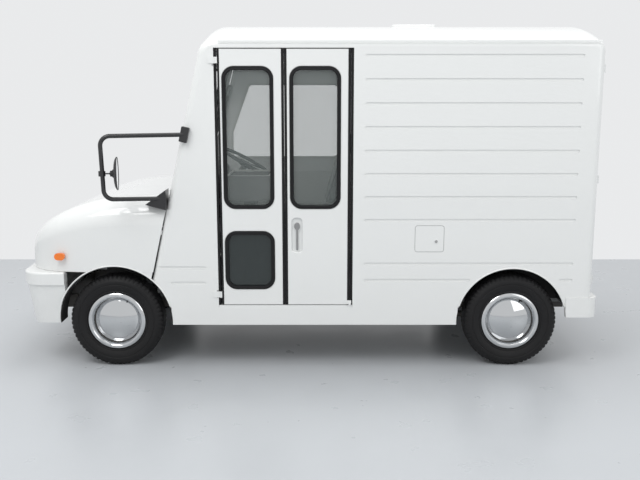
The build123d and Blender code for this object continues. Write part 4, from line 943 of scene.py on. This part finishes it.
# ---- cab ------------------------------------------------------------------------------------
@dataclass
class DriverSeat:
    """The driver's seat: a padded cushion and back with piping, on a steel frame."""

    lean: float = 17.4
    cushion_length: float = 0.47
    cushion_thickness: float = 0.112
    side_gap: float = 0.016
    back_length: float = 0.482
    back_thickness: float = 0.082
    channels: int = 5
    channel_span: float = 0.62
    channel_reach: float = 0.80
    channel_width: float = 0.030
    channel_depth: float = 0.10
    pull_in: float = 0.015
    crown: float = 0.16
    plate_size: tuple[float, float, float] = (0.084, 0.006, 0.120)

    def build(self) -> None:
        """Make the cushion, the back and the frame in place of the CAD solids."""
        low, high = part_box("seat_base_and_cushion")
        low_back, high_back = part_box("seat_backrest")
        length = min(high.x - low.x, self.cushion_length)
        width = high.y - low.y - self.side_gap
        thickness = self.cushion_thickness
        centre = (low.x + length / 2 + 0.004, (low.y + high.y) / 2, high.z - thickness / 2)
        cushion = self.pad("seat_cushion", centre, (length, width, thickness), 0.0, "seat_base")
        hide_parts("seat_base_and_cushion")
        middle = (low_back + high_back) / 2
        size = (self.back_length, width - 0.022, self.back_thickness)
        back = self.pad("seat_back", middle, size, self.lean - 90, "seat_backrest")
        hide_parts("seat_backrest")
        self.frame(low, high)

    def pad(self, name: str, centre: Point, size: Point, turn: float, body: str) -> bpy.types.Object:
        """Make one padded piece.

        It starts as a superellipsoid. The top is crowned by 1 - crown * (x^2 + y^2), the sides pull
        in by pull_in between the corners, and narrow dips along the top are the sewn channels.

        Args:
            name: The piece's name.
            centre: Its middle.
            size: Length, width and thickness before it is turned.
            turn: Turn about Y in degrees.
            body: The CAD body that the piece rides on.

        Returns:
            The piece.
        """
        grid = pillow(0.40, 160, 90)
        x, y, z = grid[..., 0].copy(), grid[..., 1].copy(), grid[..., 2].copy()
        grid[..., 0] = x * (1 - self.pull_in * (1 - y**2))
        grid[..., 1] = y * (1 - self.pull_in * (1 - x**2))
        dips = np.zeros_like(x)
        for k in range(1, self.channels):
            seam = -self.channel_span + 2 * self.channel_span * k / self.channels
            dips += np.exp(-(((y - seam) / self.channel_width) ** 2)) * (np.abs(x) < self.channel_reach)
        rounding = np.clip(1 - self.crown * (x**2 + y**2), 0, 1)
        grid[..., 2] = np.where(z > 0, z * rounding - self.channel_depth * dips * (z > 0.6), z * 0.94)
        tilt = Matrix.Rotation(math.radians(turn), 4, "Y") if turn else None
        piece = closed_loft(name, place_block(grid, centre, size, tilt), [VINYL], body, sharp=80)
        loop = rounded_loop(size[0] * 0.955, size[1] * 0.955, 0.050, 16)
        seam_line = level(loop, 0.0, 0.0, size[2] * 0.285)
        normal = np.array(UP)
        if tilt is not None:
            spin = np.array(tilt.to_3x3())
            seam_line = seam_line @ spin.T
            normal = spin @ normal
        tube(f"{name}_piping", seam_line + np.array(centre), 0.0042, PIPING, body, normal, ring=True)
        return piece

    def frame(self, low: Vector, high: Vector) -> None:
        """Make the tube frame under the cushion and the recliner's side plates.

        Args:
            low: The CAD seat base's lowest corner.
            high: Its highest corner.
        """
        loop = rounded_loop(0.43, high.y - low.y - 0.040, 0.050, 10)
        rail = level(loop, (low.x + high.x) / 2 - 0.035, (low.y + high.y) / 2, low.z + 0.013)
        tube("seat_frame_tube", rail, 0.0110, STAY, "seat_base", UP, ring=True)
        for y, name in ((low.y + 0.010, "inner"), (high.y - 0.010, "outer")):
            centre = (high.x - 0.050, y, low.z + 0.072)
            slab(f"recliner_plate_{name}", centre, self.plate_size, STAY, "seat_base", 0.3)


@dataclass
class CabFittings:
    """The cap on the mail tray's rim and the trims of the windscreen pillars."""

    tray_x: Span = (-0.4785, -0.2245)
    tray_y: Span = (-0.418, -0.062)
    tray_top: float = 1.066
    rim_inset: float = 0.008
    pillar: tuple[tuple[float, float, float], ...] = (
        (-0.560, 0.630, 1.60), (-0.640, 0.633, 1.36), (-0.715, 0.636, 1.12),
    )

    def build(self) -> None:
        """Cap the tray's rim and trim both pillars."""
        (x0, x1), (y0, y1) = self.tray_x, self.tray_y
        loop = rounded_loop(x1 - x0 - self.rim_inset, y1 - y0 - self.rim_inset, 0.012, 6)
        path = level(loop, (x0 + x1) / 2, (y0 + y1) / 2, self.tray_top)
        tube("tray_rim_cap", path, (0.0050, 0.0062), PALE, "chassis", UP, ring=True)
        for side in Side:
            path = np.array(self.pillar) * np.array([1, side.sign, 1])
            tube(f"{side}_pillar_trim", path, (0.016, 0.012), GREY, "chassis", RIGHTWARD)


# ---- studio -----------------------------------------------------------------------------------
@dataclass(frozen=True)
class SoftLamp:
    """A square lamp, with its place, its side length and its power in watts."""

    name: str
    place: tuple[float, float, float]
    size: float
    power: float


LAMPS = (
    SoftLamp("key", (-2.2, -3.6, 5.2), 2.6, 105.0),
    SoftLamp("fill", (4.2, -4.4, 3.0), 3.2, 40.0),
    SoftLamp("top", (0.4, 0.0, 5.5), 3.0, 90.0),
)
FLOOR_FINISH = Finish("studio_floor", "floor", (0.50, 0.52, 0.54), 0.30, Grain.CAST, bump=0.01, mottle=0.02)


@dataclass
class Studio:
    """The floor, the pale room, the lamps and the camera."""

    eye: tuple[float, float, float] = (0.070, -5.119, 1.560)
    pitch: float = 10.5
    lens: float = 45.3
    floor_half_width: float = 9.0
    floor_near: float = -9.0
    floor_far: float = 2.3
    room_colour: tuple[float, float, float, float] = (0.95, 0.96, 0.97, 1)
    room_strength: float = 0.86
    aim_height: float = 0.8

    def build(self) -> None:
        """Make the studio."""
        self.floor()
        self.lights()
        camera = bpy.data.cameras.new("view")
        camera.lens = self.lens
        camera.sensor_width = 36.0
        camera.clip_end = 80.0
        holder = bpy.data.objects.new("view", camera)
        holder.location = self.eye
        holder.rotation_euler = (math.radians(90 - self.pitch), 0, 0)
        bpy.context.scene.collection.objects.link(holder)
        bpy.context.scene.camera = holder

    def floor(self) -> None:
        """Lay a pale painted floor, with the white room showing past its far edge."""
        mesh = bpy.data.meshes.new("floor")
        wide, near, far = self.floor_half_width, self.floor_near, self.floor_far
        mesh.from_pydata([(-wide, near, 0), (wide, near, 0), (wide, far, 0), (-wide, far, 0)],
                         [], [(0, 1, 2, 3)])
        mesh.materials.append(PALETTE.get(FLOOR_FINISH))
        ground = bpy.data.objects.new("floor", mesh)
        bpy.context.scene.collection.objects.link(ground)

    def lights(self) -> None:
        """Hang three broad soft lamps in a pale room."""
        bpy.context.scene.view_settings.view_transform = "Standard"
        world = bpy.data.worlds.new("room")
        bpy.context.scene.world = world
        world.use_nodes = True
        world.node_tree.nodes["Background"].inputs["Color"].default_value = self.room_colour
        world.node_tree.nodes["Background"].inputs["Strength"].default_value = self.room_strength
        for plan in LAMPS:
            lamp = bpy.data.lights.new(plan.name, "AREA")
            lamp.size = plan.size
            lamp.energy = plan.power
            holder = bpy.data.objects.new(plan.name, lamp)
            holder.location = plan.place
            aim = Vector((0, 0, self.aim_height)) - Vector(plan.place)
            holder.rotation_euler = aim.to_track_quat("-Z", "Y").to_euler()
            bpy.context.scene.collection.objects.link(holder)


def all_builders() -> Iterator[Assembly]:
    """Yield every sub-assembly in the order that it is built."""
    for axle in Axle:
        for side in Side:
            yield RoadWheel(axle, side)
    for side in Side:
        yield StalkMirror(side)
    yield NoseFittings()
    yield BodyTrim()
    yield DriverSeat()
    yield CabFittings()
    yield Studio()


def main() -> None:
    """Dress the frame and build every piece."""
    logging.basicConfig(level=logging.INFO, format="%(message)s")
    PALETTE.dress_frame()
    for builder in all_builders():
        builder.build()
        log.info("finished %s", type(builder).__name__)


if __name__ == "__main__":
    main()
